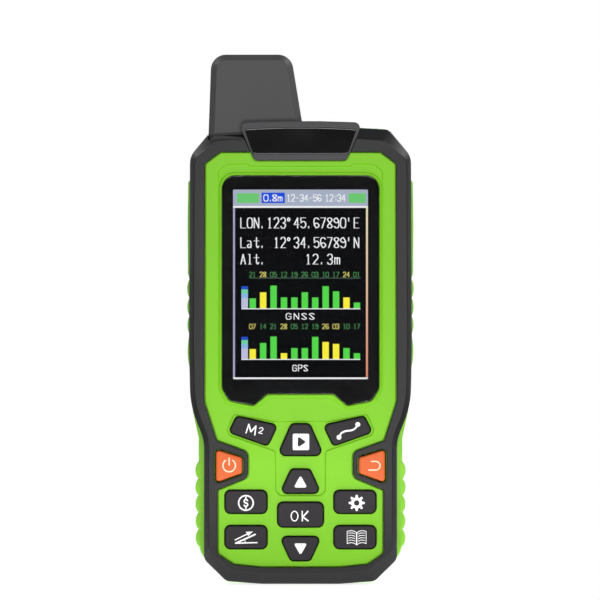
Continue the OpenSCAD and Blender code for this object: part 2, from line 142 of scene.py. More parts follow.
def bend(before, corner, after, radius, steps):
    """Points on the arc that rounds a corner. It touches both edges; its run along each is the radius
    times the tangent of half the turn, and at most just under half of the shorter edge."""
    u, v = unit(corner - before), unit(after - corner)
    side = 1.0 if u[0] * v[1] - u[1] * v[0] >= 0 else -1.0
    half = math.acos(max(-1.0, min(1.0, float(u @ v)))) / 2
    room = 0.48 * min(np.linalg.norm(corner - before), np.linalg.norm(after - corner))
    run = min(radius * math.tan(half), room)
    if run < 1e-5:
        return np.repeat(corner[None], steps + 1, 0)
    spoke = -side * run / math.tan(half) * left(u)
    turn = (side * 2 * half * np.arange(steps + 1) / steps)[:, None]
    return corner - run * u - spoke + np.cos(turn) * spoke + np.sin(turn) * left(spoke)


def outline(corners, inset=0.0, steps=6, span=1.0, like=None):
    """Closed loop of [x, z] points. Every edge moves inward by inset and each corner becomes an arc of
    its radius less the inset. A straight run is cut into pieces of about span, counted on the edges of
    like, so that loops of one family have equal counts."""
    p = np.array(corners, float)
    place = p[:, :2]
    u, v = unit(place - np.roll(place, 1, 0)), unit(np.roll(place, -1, 0) - place)
    turn = u[:, 0] * v[:, 1] - u[:, 1] * v[:, 0]
    place = place + inset * (left(u) + left(v)) / (1 + (u * v).sum(1))[:, None]
    radius = np.maximum(0.4, p[:, 2] - np.sign(turn) * inset)
    model = np.array(like or corners, float)[:, :2]
    pieces = np.ceil(np.linalg.norm(np.roll(model, -1, 0) - model, axis=1) / span).astype(int)
    arcs = [bend(place[i - 1], place[i], place[(i + 1) % len(p)], radius[i], steps) for i in range(len(p))]
    runs = [np.linspace(a[-1], b[0], n + 1)[1:-1] for a, b, n in zip(arcs, arcs[1:] + arcs[:1], pieces)]
    return np.concatenate([part for pair in zip(arcs, runs) for part in pair])


def stand(loop, y):
    """An [x, z] loop stood up at depth y, which is one number or one for each point."""
    return np.column_stack([loop[:, 0], np.broadcast_to(y, len(loop)), loop[:, 1]])


def strip(rings):
    """Quads joining each closed ring to the next."""
    n = len(rings[0])
    j, i = np.mgrid[0:len(rings) - 1, 0:n]
    a, b = j * n + i, j * n + (i + 1) % n
    return np.concatenate(rings), np.stack([a, b, b + n, a + n], -1).reshape(-1, 4)


def lid(ring):
    """One flat face over a ring."""
    return ring, np.arange(len(ring))[None]


def rounded(profile, steps=4):
    """An open profile [inset, y, radius] with its inner corners rounded."""
    p = np.array(profile, float)
    arcs = [bend(p[i - 1, :2], p[i, :2], p[i + 1, :2], p[i, 2], steps) for i in range(1, len(p) - 1)]
    return np.concatenate([p[:1, :2], *arcs, p[-1:, :2]])


def quarter(radius, n=5):
    """Insets and depths of a quarter-round edge: the radius times one less the sine and one less the
    cosine, from 0 to 90 degrees."""
    t = np.linspace(0, np.pi / 2, n)
    return np.column_stack([radius * (1 - np.sin(t)), radius * (1 - np.cos(t))])


def solid(rings):
    """Closed solid: a skin over the rings, with a flat face at each end."""
    return [strip(rings), lid(rings[0]), lid(rings[-1])]


def block_of(corners, profile, steps=6, span=1.0, soft=4):
    """Closed solid: an outline carried along a profile of insets, depths y and corner radii."""
    return solid([stand(outline(corners, d, steps, span), y) for d, y in rounded(profile, soft)])


def slab(corners, y0, y1, inset=0.0):
    """Straight-sided block: an outline between two depths."""
    return block_of(corners, [[inset, y0, 0], [inset, y1, 0]], 6, 50)


def distance(points, loop):
    """Signed distance from [x, z] points to a closed loop: the least distance to any edge, negative
    inside, where a ray along +x crosses the loop an odd number of times."""
    a, b = loop, np.roll(loop, -1, 0)
    d = b - a
    out = np.empty(len(points))
    for some in np.array_split(np.arange(len(points)), max(1, len(points) // 2000)):
        rel = points[some][:, None] - a
        t = np.clip((rel * d).sum(2) / np.maximum((d * d).sum(1), 1e-12), 0, 1)
        near = np.sqrt(((rel - t[..., None] * d) ** 2).sum(2)).min(1)
        spans = (a[:, 1] > points[some][:, 1:]) != (b[:, 1] > points[some][:, 1:])
        slope = np.where(np.abs(d[:, 1]) < 1e-12, 1e-12, d[:, 1])
        crosses = spans & (rel[..., 0] < rel[..., 1] * d[:, 0] / slope)
        out[some] = np.where(crosses.sum(1) % 2 == 1, -near, near)
    return out


def plate(edge, holes=(), rings=(), grid=3.0):
    """Triangles filling an edge loop less its holes. Rings are loops along which the surface bends, and
    a loose grid of points keeps the triangles even. Gives [x, z] points and faces."""
    walls = [edge, *holes]
    x, z = [np.arange(edge[:, k].min(), edge[:, k].max(), grid) for k in (0, 1)]
    loose = np.array(np.meshgrid(x, z)).reshape(2, -1).T
    for loop in [*walls, *rings]:
        loose = loose[np.abs(distance(loose, loop)) > 0.3 * grid]
    points, links, start = [], [], 0
    for loop in [*walls, *rings]:
        n = len(loop)
        link = np.column_stack([np.arange(n), (np.arange(n) + 1) % n])
        if start >= sum(len(w) for w in walls):
            clear = distance(loop, edge) < -0.12
            for hole in holes:
                clear &= distance(loop, hole) > 0.12
            link = link[clear[link].all(1)]
            kept = np.cumsum(clear) - 1
            link, loop = kept[link], loop[clear]
        points.append(loop)
        links.append(link + start)
        start += len(loop)
    loose = loose[distance(loose, edge) < 0]
    flat = np.concatenate([*points, loose])
    co, _, tris, *_ = delaunay_2d_cdt(flat.tolist(), np.concatenate(links).tolist(), [], 0, 1e-6)
    co, tris = np.array([list(c) for c in co]), np.array(tris)
    centre = co[tris].mean(1)
    inside = distance(centre, edge) < 0
    for hole in holes:
        inside &= distance(centre, hole) > 0
    return co, tris[inside]


def ramp(t):
    """Smooth step from 0 to 1."""
    t = np.clip(t, 0, 1)
    return t * t * (3 - 2 * t)


def shell_object(name, parts, crease=32):
    """Mesh object of parts given as (points, faces) in mm: equal points are merged, faces turned
    outwards, and edges sharper than the crease angle kept sharp."""
    points = np.concatenate([p for p, _ in parts]) * MM
    starts = np.cumsum([0] + [len(p) for p, _ in parts])
    faces = [f for start, (_, some) in zip(starts, parts) for f in (np.asarray(some) + start).tolist()]
    mesh = bpy.data.meshes.new(name)
    mesh.from_pydata(points.tolist(), [], faces)
    work = bmesh.new()
    work.from_mesh(mesh)
    bmesh.ops.remove_doubles(work, verts=work.verts, dist=2e-7)
    bmesh.ops.dissolve_degenerate(work, edges=work.edges, dist=1e-7)
    bmesh.ops.recalc_face_normals(work, faces=work.faces)
    work.to_mesh(mesh)
    work.free()
    piece = bpy.data.objects.new(name, mesh)
    bpy.context.scene.collection.objects.link(piece)
    crisp(piece, crease)
    return piece


def crisp(piece, crease=32):
    """Smooth faces with sharp edges above the crease angle, and normals that follow the larger faces."""
    piece.data.shade_smooth()
    piece.data.set_sharp_from_angle(angle=math.radians(crease))
    piece.modifiers.clear()
    weigh = piece.modifiers.new("even_normals", "WEIGHTED_NORMAL")
    weigh.keep_sharp = True


def cut(piece, shapes, crease=32, how="DIFFERENCE"):
    """Takes closed shapes out of a piece, or adds them to it, and keeps the result as its mesh."""
    piece.modifiers.clear()
    tool = shell_object("cutter", [part for shape in shapes for part in shape])
    tool.modifiers.clear()
    knife = piece.modifiers.new("cut", "BOOLEAN")
    knife.operation, knife.solver, knife.object, knife.use_self = how, "EXACT", tool, True
    seen = piece.evaluated_get(bpy.context.evaluated_depsgraph_get())
    piece.data = bpy.data.meshes.new_from_object(seen)
    bpy.data.objects.remove(tool)
    crisp(piece, crease)


def place(piece, body, slot, material, *stands_for):
    """Gives a piece its finish and its body, and hides the CAD nodes it stands for. The slot is not used.
    """
    piece.data.materials.clear()
    piece.data.materials.append(material)
    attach(piece, body)
    if stands_for:
        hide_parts(*stands_for)


def circle(count):
    """Cosines and sines of equal steps round a full turn."""
    turn = 2 * np.pi * np.arange(count) / count
    return np.cos(turn), np.sin(turn)


def bar(x, z, r, y0, y1, count=32):
    """Round bar along y, closed at both ends."""
    c, s = circle(count)
    loop = np.column_stack([x + r * c, z + r * s])
    return solid([stand(loop, y0), stand(loop, y1)])


def box_of(x, y, z, r=0.0):
    """Rectangular block between pairs of limits, with its edges along y rounded by r."""
    rect = [[x[0], z[0], r], [x[1], z[0], r], [x[1], z[1], r], [x[0], z[1], r]]
    return block_of(rect, [[0, y[0], 0], [0, y[1], 0]], 3, 50)


def layer_of(corners, z0, z1, inset=0.0):
    """Upright slab: an outline seen from above as [x, y, radius], between two heights."""
    loop = outline(corners, inset, 6, 50)
    return solid([np.column_stack([loop, np.full(len(loop), z)]) for z in (z0, z1)])


def srgb(code):
    """Linear colour of a hex code."""
    c = np.array([int(code[i:i + 2], 16) for i in (1, 3, 5)]) / 255
    return (*np.where(c <= 0.04045, c / 12.92, ((c + 0.055) / 1.055) ** 2.4), 1.0)


def new_group(name, inputs, outputs):
    """Empty shader node group with named sockets, as {name: (type, default)} and {name: type}."""
    group = bpy.data.node_groups.new(name, "ShaderNodeTree")
    for key, (kind, value) in inputs.items():
        group.interface.new_socket(key, in_out="INPUT", socket_type=kind).default_value = value
    for key, kind in outputs.items():
        group.interface.new_socket(key, in_out="OUTPUT", socket_type=kind)
    return group, group.nodes.new("NodeGroupInput"), group.nodes.new("NodeGroupOutput")


def node(tree, kind, inputs=None, **settings):
    """Adds a node, sets its properties, and fills its inputs with values or links."""
    made = tree.nodes.new(kind)
    for key, value in settings.items():
        setattr(made, key, value)
    for key, value in (inputs or {}).items():
        if isinstance(value, bpy.types.NodeSocket):
            tree.links.new(value, made.inputs[key])
        else:
            made.inputs[key].default_value = value
    return made


# Moulded skin: a spark-eroded grain, slow drifts of tone, and a sheen that varies with handling
skin, skin_in, skin_out = new_group(
    "moulded_skin",
    {"Colour": ("NodeSocketColor", (0.5, 0.5, 0.5, 1)), "Drift": ("NodeSocketFloat", 0.04),
     "Grain": ("NodeSocketFloat", 2500.0), "Depth": ("NodeSocketFloat", 0.3),
     "Sheen": ("NodeSocketFloat", 0.45), "Spread": ("NodeSocketFloat", 0.1)},
    {"Colour": "NodeSocketColor", "Roughness": "NodeSocketFloat", "Normal": "NodeSocketVector"},
)
where = node(skin, "ShaderNodeTexCoord").outputs["Object"]
slow = node(skin, "ShaderNodeTexNoise", {"Vector": where, "Scale": 45.0, "Detail": 3.0})
fine = node(skin, "ShaderNodeTexNoise",
            {"Vector": where, "Scale": skin_in.outputs["Grain"], "Detail": 2.0, "Roughness": 0.6})
tone = node(skin, "ShaderNodeMapRange", {"Value": slow.outputs["Fac"], "From Min": 0.3, "From Max": 0.7,
                                         "To Min": -1.0, "To Max": 1.0})
lift = node(skin, "ShaderNodeMath", {0: tone.outputs["Result"], 1: skin_in.outputs["Drift"], 2: 1.0},
            operation="MULTIPLY_ADD")
shade = node(skin, "ShaderNodeVectorMath", {0: skin_in.outputs["Colour"], "Scale": lift.outputs[0]},
             operation="SCALE")
rub = node(skin, "ShaderNodeMath", {0: tone.outputs["Result"], 1: skin_in.outputs["Spread"],
                                    2: skin_in.outputs["Sheen"]}, operation="MULTIPLY_ADD")
relief = node(skin, "ShaderNodeBump", {"Strength": skin_in.outputs["Depth"], "Distance": 0.00004,
                                       "Height": fine.outputs["Fac"]})
skin.links.new(shade.outputs[0], skin_out.inputs["Colour"])
skin.links.new(rub.outputs[0], skin_out.inputs["Roughness"])
skin.links.new(relief.outputs[0], skin_out.inputs["Normal"])


def coated(name, group, values, feeds=("Colour", "Roughness", "Normal"), **plain):
    """Material whose shader is fed by a skin group with these values. Plain values go straight to the
    shader's own sockets."""
    made = bpy.data.materials.new(name)
    made.use_nodes = True
    tree = made.node_tree
    shader = tree.nodes["Principled BSDF"]
    cover = node(tree, "ShaderNodeGroup", values, node_tree=group)
    for key in feeds:
        tree.links.new(cover.outputs[key], shader.inputs["Base Color" if key == "Colour" else key])
    for key, value in plain.items():
        shader.inputs[key.replace("_", " ")].default_value = value
    return made


def moulded(name, colour, sheen=0.45, grain=2500.0, depth=0.3, drift=0.04, spread=0.08, **plain):
    """Plastic or rubber with the moulded skin."""
    return coated(name, skin, {"Colour": srgb(colour), "Drift": drift, "Grain": grain, "Depth": depth,
                               "Sheen": sheen, "Spread": spread}, **plain)


def face_depth(points):
    """Depth y of the green face at [x, z] points: flat, with a half-wave bead and a shallow groove
    round the lens, a step down inside the key pocket, and a shelf above the display that fades out
    downwards. Each step is a smooth ramp of the distance to its outline."""
    out = distance(points, outline(LENS, 0, 6, 3))
    y = np.full(len(points), face_y)
    y -= bead_h * np.sin(np.pi * np.clip((out - 0.1) / bead_w, 0, 1)) ** 0.8
    y += groove_d * np.sin(np.pi * np.clip((out - 0.1 - bead_w) / groove_w, 0, 1))
    y += pocket_d * ramp(-distance(points, outline(KEY_POCKET, 0, 6, 3)) / pocket_ramp)
    shelf = ramp(-distance(points, outline(SHELF, 0, 6, 3)) / shelf_ramp) * ramp(out - 0.9)
    return y + shelf_d * shelf * ramp((points[:, 1] - 115) / 9)


def hole_wall(corners, gap, fillet, top, bottom):
    """Wall of a hole: a quarter-round lip below the face, whose depth at each point top gives, then
    straight back to the bottom. Returns the lip's loop and the strip."""
    edge = quarter(fillet)
    loops = [outline(corners, -gap - d, 5, 1.2) for d in edge[:, 0]]
    y = top(loops[0])
    rings = [stand(loop, y + h) for loop, h in zip(loops, edge[:, 1])]
    return loops[0], strip(rings + [stand(loops[-1], bottom)])


def key_holes(keys, gap):
    """The outlines of a set of keys, each a gap wider."""
    return [outline(corners, -gap, 5, 1.2) for corners in keys.values()]


def front_shell_parts():
    """Face, lip, seat under the bumper, side wall and inner wall, with the walls of every hole."""
    parts, face_holes = [], []
    for corners in DARK_KEYS.values():
        loop, wall = hole_wall(corners, key_gap, hole_fillet, face_depth, wall_y)
        face_holes.append(loop)
        parts.append(wall)
    lens_loop = outline(LENS, -0.1, 6, 0.9)
    window = [[-22.3, 62.3, 1], [22.3, 62.3, 1], [22.3, 124.3, 1], [-22.3, 124.3, 1]]
    window_loop = outline(window, 0, 4, 3)
    face_rim = outline(GREEN_FACE, face_lip, 6, 1.2)
    face_edge = outline(GREEN_FACE, 0, 6, 1.2)
    bends = [outline(LENS, -0.1 - d, 6, 0.9) for d in np.linspace(0.08, bead_w + groove_w + 0.1, 15)]
    bends += [outline(KEY_POCKET, d, 6, 1) for d in np.linspace(-0.08, pocket_ramp + 0.08, 8)]
    bends += [outline(SHELF, d, 6, 1.5) for d in np.linspace(-0.1, shelf_ramp + 0.1, 7)]
    flat, tris = plate(face_rim, [lens_loop, *face_holes], bends)
    parts.append((stand(flat, face_depth(flat)), tris))
    lip = [stand(outline(GREEN_FACE, d, 6, 1.2), face_y + h) for d, h in quarter(face_lip)]
    parts.append(strip(lip + [stand(face_edge, seat_y)]))
    parts.append(strip([stand(lens_loop, face_depth(lens_loop)), stand(lens_loop, ledge)]))
    flat, tris = plate(lens_loop, [window_loop], grid=8)
    parts.append((stand(flat, ledge), tris))
    parts.append(strip([stand(window_loop, ledge), stand(window_loop, wall_y)]))
    orange = key_holes(ORANGE_KEYS, key_gap)
    outer, step, inner = [outline(CASE, shell_inset + d, 6, 3) for d in (0, rebate, shell_wall)]
    flat, tris = plate(step, [face_edge, *orange], grid=8)
    parts.append((stand(flat, seat_y), tris))
    parts += [strip([stand(loop, seat_y), stand(loop, wall_y)]) for loop in orange]
    parts.append(strip([stand(step, seat_y), stand(step, rebate_y), stand(outer, rebate_y),
                        stand(outer, split_y), stand(inner, split_y), stand(inner, wall_y)]))
    flat, tris = plate(inner, [window_loop, *key_holes(DARK_KEYS, key_gap), *orange], grid=8)
    parts.append((stand(flat, wall_y), tris))
    return parts


def antenna_room(gap=0.3):
    """Space that the antenna and its neck take out of the case, as closed shapes."""
    return [slab(ANTENNA, -15.1, 10, -gap), layer_of(NECK, 130, 150, -0.2)]


green_plastic = moulded("green_plastic", "#8cda2e", sheen=0.42, grain=3200, depth=0.22, drift=0.02,
                        IOR=1.46, Specular_IOR_Level=0.2)
front_shell = shell_object("front_shell_skin", front_shell_parts())
cut(front_shell, [slab(CAP, -18, cap_floor, -0.28), *antenna_room()])
place(front_shell, "case", "green_shell", green_plastic, "front_shell")

# ---- Bumper --------------------------------------------------------------------------------------
# A dark thermoplastic rubber frame, over-moulded round the front shell. Its front edge is chamfered,
# and it swells into a lobe round each orange key.

BUMPER_FACE = both([
    [12, 3.4, 8], [21.5, 4.4, 3], [28.75, 10.3, 3], [28.75, 45.4, 14], [33.05, 56, 30],
    [33.45, 75, 60], [33.2, 132.6, 4], [25.6, 138.4, 2.5], [18.5, 138.9, 3],
])
bumper_y = face_y - 1
bumper_gap, bumper_lip = 0.22, 0.4
orange_gap, orange_lip = key_gap + 0.15, 0.35
slit_x = [-29.2, -17]


def bumper_parts():
    """Inner wall with a rounded lip, flat front face, chamfer down to the sides, back edge and seat."""
    lip = [stand(outline(GREEN_FACE, -bumper_gap - d, 6, 1.2), bumper_y + h)
           for d, h in quarter(bumper_lip)]
    inner = outline(GREEN_FACE, -bumper_gap, 6, 1.2)
    parts = [strip(lip + [stand(inner, seat_y)])]
    holes = []
    for corners in ORANGE_KEYS.values():
        loop, well = hole_wall(corners, orange_gap, orange_lip, lambda p: np.full(len(p), bumper_y), seat_y)
        holes.append(loop)
        parts.append(well)
    front = [stand(outline(BUMPER_FACE, d, 6, 3, like=CASE), y) for d, y in rounded(
        [[0.62, bumper_y, 0], [0.15, bumper_y, 0.3], [-0.1, bumper_y + 0.45, 0]], 4)]
    side = [stand(outline(CASE, d, 6, 3), y) for d, y in rounded(
        [[0.3, -14.2, 0], [0, -13.3, 1.2], [0, -5.8, 0.5], [0.55, split_y, 0]], 4)]
    wall, step = [outline(CASE, shell_inset + d, 6, 3) for d in (0, rebate)]
    parts.append(strip(front + side + [stand(wall, split_y), stand(wall, rebate_y), stand(step, rebate_y),
                                       stand(step, seat_y)]))
    flat, tris = plate(front[0][:, [0, 2]], [lip[0][:, [0, 2]], *holes])
    parts.append((stand(flat, bumper_y), tris))
    flat, tris = plate(step, [inner, *key_holes(ORANGE_KEYS, orange_gap)], grid=8)
    parts.append((stand(flat, seat_y), tris))
    return parts


bumper_rubber = moulded("bumper_rubber", "#2c2c2e", sheen=0.45, grain=2600, depth=0.35, drift=0.06,
                        Specular_IOR_Level=0.25)
bumper = shell_object("bumper_skin", bumper_parts())
# The slit under the antenna is shallower along its foot, where the front shell's seat lies behind it
cut(bumper, [slab(CAP, -18, cap_floor, -0.25), *antenna_room(0.1),
             *[box_of(slit_x, [-20, y], [z, 146]) for y, z in ((-15.3, 138.4), (-14.9, 139.85))]])
place(bumper, "case", "bumper_rubber", bumper_rubber, "front_bumper")

# ---- Keys ----------------------------------------------------------------------------------------
# Twelve hard key caps on a silicone mat: ten dark grey ones, held by a flange behind the front wall,
# and two orange ones. Each has a softly rounded rim and a symbol printed in white or cream ink.

dark_front, orange_front = face_y - 1.2, face_y - 1.6
sheet_y, key_travel = wall_y + 3.6, 0.6
plunger_end = sheet_y - 0.3 - key_travel
ink_t, ink_step = 0.02, 0.002


def key_parts(corners, front, rim, flange):
    """Cap with a flat face and a rim that is a quarter of an ellipse, three quarters as deep as it is
    wide, a flange where there is room, and a round plunger."""
    profile = [[d, front + 0.75 * h] for d, h in quarter(rim, 7)]
    profile += [[0, wall_y + 0.2], [-flange, wall_y + 0.2], [-flange, wall_y + 0.9]]
    rings = [stand(outline(corners, d, 5, 1.5), y) for d, y in profile]
    middle = [(rings[0][:, k].min() + rings[0][:, k].max()) / 2 for k in (0, 2)]
    return [*solid(rings), *bar(*middle, 1.5, wall_y + 0.8, plunger_end)]


def pen(strokes, width, height=None):
    """Flat pen strokes: every segment of each [x, z] line is swept by a nib of that width and height,
    as the six-sided hull of the nib at its two ends."""
    nib = np.array([width, height or width]) / 2
    a = np.concatenate([np.array(s, float)[:-1] for s in strokes])
    b = np.concatenate([np.array(s, float)[1:] for s in strokes])
    swap = (b[:, 1] < a[:, 1])[:, None]
    a, b = np.where(swap, b, a), np.where(swap, a, b)
    side = np.where(b[:, :1] >= a[:, :1], 1.0, -1.0)
    corner = lambda end, sx, sz: end + nib * np.concatenate([sx * side, sz * np.ones_like(side)], 1)
    six = np.stack([corner(a, -1, -1), corner(a, 1, -1), corner(b, 1, -1), corner(b, 1, 1),
                    corner(b, -1, 1), corner(a, -1, 1)], 1)
    return six.reshape(-1, 2), np.arange(len(six) * 6).reshape(-1, 6)


def round_pen(line, width):
    """A line of [x, z] points drawn with a round nib: a ribbon of that width with half-round ends."""
    p = np.array(line, float)
    along = unit(np.gradient(p, axis=0))
    side = left(along) * width / 2
    turn = np.linspace(0, np.pi, 9)[:, None]
    end = lambda c, s: c + np.cos(turn) * s - np.sin(turn) * left(s)
    loop = np.concatenate([p + side, end(p[-1], side[-1])[1:-1], (p - side)[::-1],
                           end(p[0], -side[0])[1:-1]])
    return loop, np.arange(len(loop))[None]


def arc(x, z, r, a0, a1, n=24):
    """Points on a circle between two angles in degrees, anticlockwise from +x."""
    t = np.radians(np.linspace(a0, a1, n))
    return np.column_stack([x + r * np.cos(t), z + r * np.sin(t)])


def smooth(points, n=5):
    """Catmull-Rom curve through points: each stretch blends its two ends and the slopes beside them."""
    p = np.array(points, float)
    closed = np.allclose(p[0], p[-1])
    ends = (p[-2], p[1]) if closed else (2 * p[0] - p[1], 2 * p[-1] - p[-2])
    q = np.vstack([ends[0], p, ends[1]])
    t = (np.arange(n) / n)[:, None, None]
    a, b, c, d = q[:-3], q[1:-2], q[2:-1], q[3:]
    square, cube = 2 * a - 5 * b + 4 * c - d, 3 * b - a - 3 * c + d
    run = 0.5 * (2 * b + (c - a) * t + square * t ** 2 + cube * t ** 3)
    return np.vstack([run.transpose(1, 0, 2).reshape(-1, 2), p[-1:]])


def facing_front(flat, faces):
    """The same faces of flat [x, z] points, each wound so that it looks towards -y: faces whose area
    comes out negative by the shoelace rule are turned round."""
    faces = np.asarray(faces)
    x, z = flat[faces, 0], flat[faces, 1]
    area = (x * np.roll(z, -1, 1) - z * np.roll(x, -1, 1)).sum(1, keepdims=True)
    return np.where(area > 0, faces, faces[:, ::-1])


def hollow(outer, inner):
    """Flat face between two loops."""
    return plate(outer, [inner], grid=50)


def turned(parts, x, z, degrees):
    """Parts of a flat drawing turned about a point."""
    c, s = math.cos(math.radians(degrees)), math.sin(math.radians(degrees))
    return [((p - [x, z]) @ np.array([[c, s], [-s, c]]) + [x, z], f) for p, f in parts]


def printed(name, drawing, y, body, slot, ink):
    """A film of ink on a face at depth y: the drawing, a film's thickness proud, with its edge and back.
    Each part stands two tiny steps above the last, and the faces of a pen line take four levels in turn,
    half a step apart, so that no two that overlap lie in one plane."""
    parts = []
    for i, (flat, faces) in enumerate(drawing):
        level = np.full(len(flat), 2.0 * i)
        if np.size(faces) == len(flat):
            level[np.asarray(faces)] += (np.arange(len(faces)) % 4 / 2)[:, None]
        raised = stand(flat, y - ink_t) - np.outer(level, [0, ink_step, 0])
        parts.append((raised, facing_front(flat, faces)))
    piece = shell_object(name, parts)
    piece.data.shade_flat()
    piece.modifiers.clear()
    thick = piece.modifiers.new("film", "SOLIDIFY")
    thick.thickness, thick.offset = ink_t * MM, -1
    place(piece, body, slot, ink)
    return piece


# White ink with a faint emission: a painted glow that lifts the symbols to full white, though the ink is no
# lamp.
white_ink_painted_glow = moulded("white_ink_painted_glow", "#fdfcfd", sheen=0.5, grain=1500, depth=0.05, drift=0.01,
                    Emission_Color=(1, 1, 1, 1), Emission_Strength=0.16)
cream_ink = moulded("cream_ink", "#ffe9c8", sheen=0.5, grain=1500, depth=0.05, drift=0.01)
dark_cap = moulded("dark_key_plastic", "#343135", sheen=0.6, grain=2600, depth=0.25, drift=0.05,
                   Specular_IOR_Level=0.2)
orange_cap = moulded("orange_key_plastic", "#ec6c32", sheen=0.42, grain=2600, depth=0.2, drift=0.02,
                     Specular_IOR_Level=0.25)


def gear(x, z, root, tip, count=8, n=16):
    """Closed outline of a gear: the radius swings between root and tip as a squared-off wave."""
    a = np.arange(count * n) / (count * n) * 2 * np.pi
    wave = np.clip(2.2 * np.cos(count * a) - 0.25, -1, 1)
    r = (root + tip) / 2 + (tip - root) / 2 * wave
    return np.column_stack([x + r * np.sin(a), z + r * np.cos(a)])


letter_m = np.array([[-1.4, -1.45], [-1.15, 1.4], [0, -0.75], [1.15, 1.4], [1.4, -1.45]])
small_two = smooth([[-0.6, 0.5], [-0.35, 0.9], [0.2, 0.95], [0.5, 0.5], [0.1, -0.1], [-0.6, -0.75]])
letter_s = np.concatenate([arc(0, 0.45, 0.47, 20, 270, 14), arc(0, -0.49, 0.47, 90, -160, 14)])
route_line = smooth([[12.1, 46], [12.8, 47.2], [14.2, 47.8], [15.8, 48], [17, 48.6], [17.8, 49.8]])
book_x, book_page = 17.5, 2.95


def page_line(z, near, far):
    """A line across the left page, from far to near the spine: an arch that falls towards the spine."""
    across = np.linspace(far, near, 11)
    share = 1 - across / book_page
    return np.column_stack([book_x - across, z + 0.32 * np.sin(np.pi * share) - 0.4 * share ** 3])


page = [round_pen(page_line(z, 0.12, book_page), 0.22) for z in (12.75, 16.5)]
page += [round_pen(page_line(z, 0.5, 2.5), 0.2) for z in (13.55, 14.3, 15.05, 15.8)]
page += [pen([[[book_x - book_page, 12.75], [book_x - book_page, 16.5]]], 0.2),
         pen([[[book_x - 0.06, 12.35], [book_x - 0.06, 16.1]]], 0.24)]


def sharp(corners):
    """Outline with just a few points on each small corner."""
    return outline(corners, 0, 3, 9)


SYMBOLS = {
    "power": [round_pen(arc(-22.2, 37.05, 1.95, 125, 415), 0.42),
              round_pen([[-22.2, 39.3], [-22.2, 37.2]], 0.42)],
    "back": [round_pen([[22.05, 38.35], *arc(23.4, 37, 1.35, 90, -90), [21.3, 35.65]], 0.42)],
    "area": turned([pen([letter_m + [-15.3, 48.1]], 0.36, 0.28), round_pen(small_two + [-12.3, 48.4], 0.28),
                    pen([[[-12.9, 47.6], [-11.75, 47.6]]], 0.2, 0.3)], -14.5, 48.1, -13),
    "play": [hollow(sharp([[-2.4, 41.85, 0.15], [2.7, 41.85, 0.15], [2.7, 46.95, 0.15],
                           [-2.4, 46.95, 0.15]]),
                    sharp([[-0.85, 42.6, 0.1], [1.8, 44.4, 0.1], [-0.85, 46.2, 0.1]]))],
    "route": [round_pen(route_line, 0.55), lid(arc(12, 45.85, 0.75, 0, 345)),
              lid(arc(17.85, 49.85, 0.75, 0, 345))],
    "up": [lid(sharp([[-2.1, 30.2, 0.1], [2.1, 30.2, 0.1], [0, 34, 0.1]]))],
    "ok": [hollow(*[arc(0, 0, 1, 0, 350, 36) * half + [-1.85, 21.3]
                    for half in ([1.22, 1.68], [0.86, 1.34])]),
           pen([[[0.55, 19.8], [0.55, 22.8]], [[2.3, 22.8], [0.75, 21], [2.4, 19.8]]], 0.36, 0.3)],
    "down": [lid(sharp([[-2.1, 12.8, 0.1], [0, 9.1, 0.1], [2.1, 12.8, 0.1]]))],
    "price": [hollow(*[arc(-17, 25.4, r, 0, 352, 46) for r in (2.5, 2.05)]),
              round_pen(letter_s * 1.15 + [-17, 25.42], 0.46),
              pen([[[-17, 26.6], [-17, 27.15]], [[-17, 23.65], [-17, 24.2]]], 0.4)],
    "slope": [pen([[[-20.2, 12.85], [-13.6, 13.05]], [[-20.2, 12.85], [-14.1, 15.6]]], 0.38),
              pen([[[-20.4, 13.85], [-16.4, 15.8]]], 0.26), round_pen(arc(-20.2, 12.85, 3, 2, 24, 8), 0.24),
              lid(np.array([[-16.3, 15.1], [-14.8, 16.5], [-17, 16.4]]))],
    "settings": [hollow(gear(17.5, 25.4, 1.72, 2.5), arc(17.5, 25.4, 0.85, 0, 350, 30))],
    "book": page + [([2 * book_x, 0] + flat * [-1, 1], faces) for flat, faces in page],
}

for keys, slot, front, rim, flange, plastic, ink in (
        (DARK_KEYS, "key_dark", dark_front, 0.5, 0.8, dark_cap, white_ink_painted_glow),
        (ORANGE_KEYS, "key_orange", orange_front, 0.75, 0, orange_cap, cream_ink)):
    for key_name, corners in keys.items():
        cap = shell_object(f"{key_name}_key_cap", key_parts(corners, front, rim, flange))
        place(cap, f"{key_name}_button", slot, plastic, f"key_{key_name}")
        printed(f"{key_name}_symbol", SYMBOLS[key_name], front, f"{key_name}_button", slot, ink)

# ---- Display -------------------------------------------------------------------------------------
# A hard-coated glass lens bonded into the bead, with a black border printed on its back, over a colour
# display. The picture is the satellite page: position, height and two rows of signal bars.

lens_t, lens_y = 0.9, seat_y
screen_x, screen_low, screen_high = 21.05, 63.9, 123.05
picture_y = wall_y + 0.2
layer_step = 0.012

glass = coated("lens_glass", skin, {"Colour": (0.96, 0.98, 1, 1), "Drift": 0.01, "Grain": 900.0,
                                    "Depth": 0.0, "Sheen": 0.03, "Spread": 0.015},
               ("Colour", "Roughness"), Transmission_Weight=1.0, IOR=1.3)

lens = shell_object("display_lens_glass", block_of(
    LENS, [[0.5, lens_y, 0], [0.02, lens_y, 0.25], [0.02, lens_y + lens_t, 0]], 6, 4, 3))
place(lens, "case", "lens_glass", glass, "display_lens")

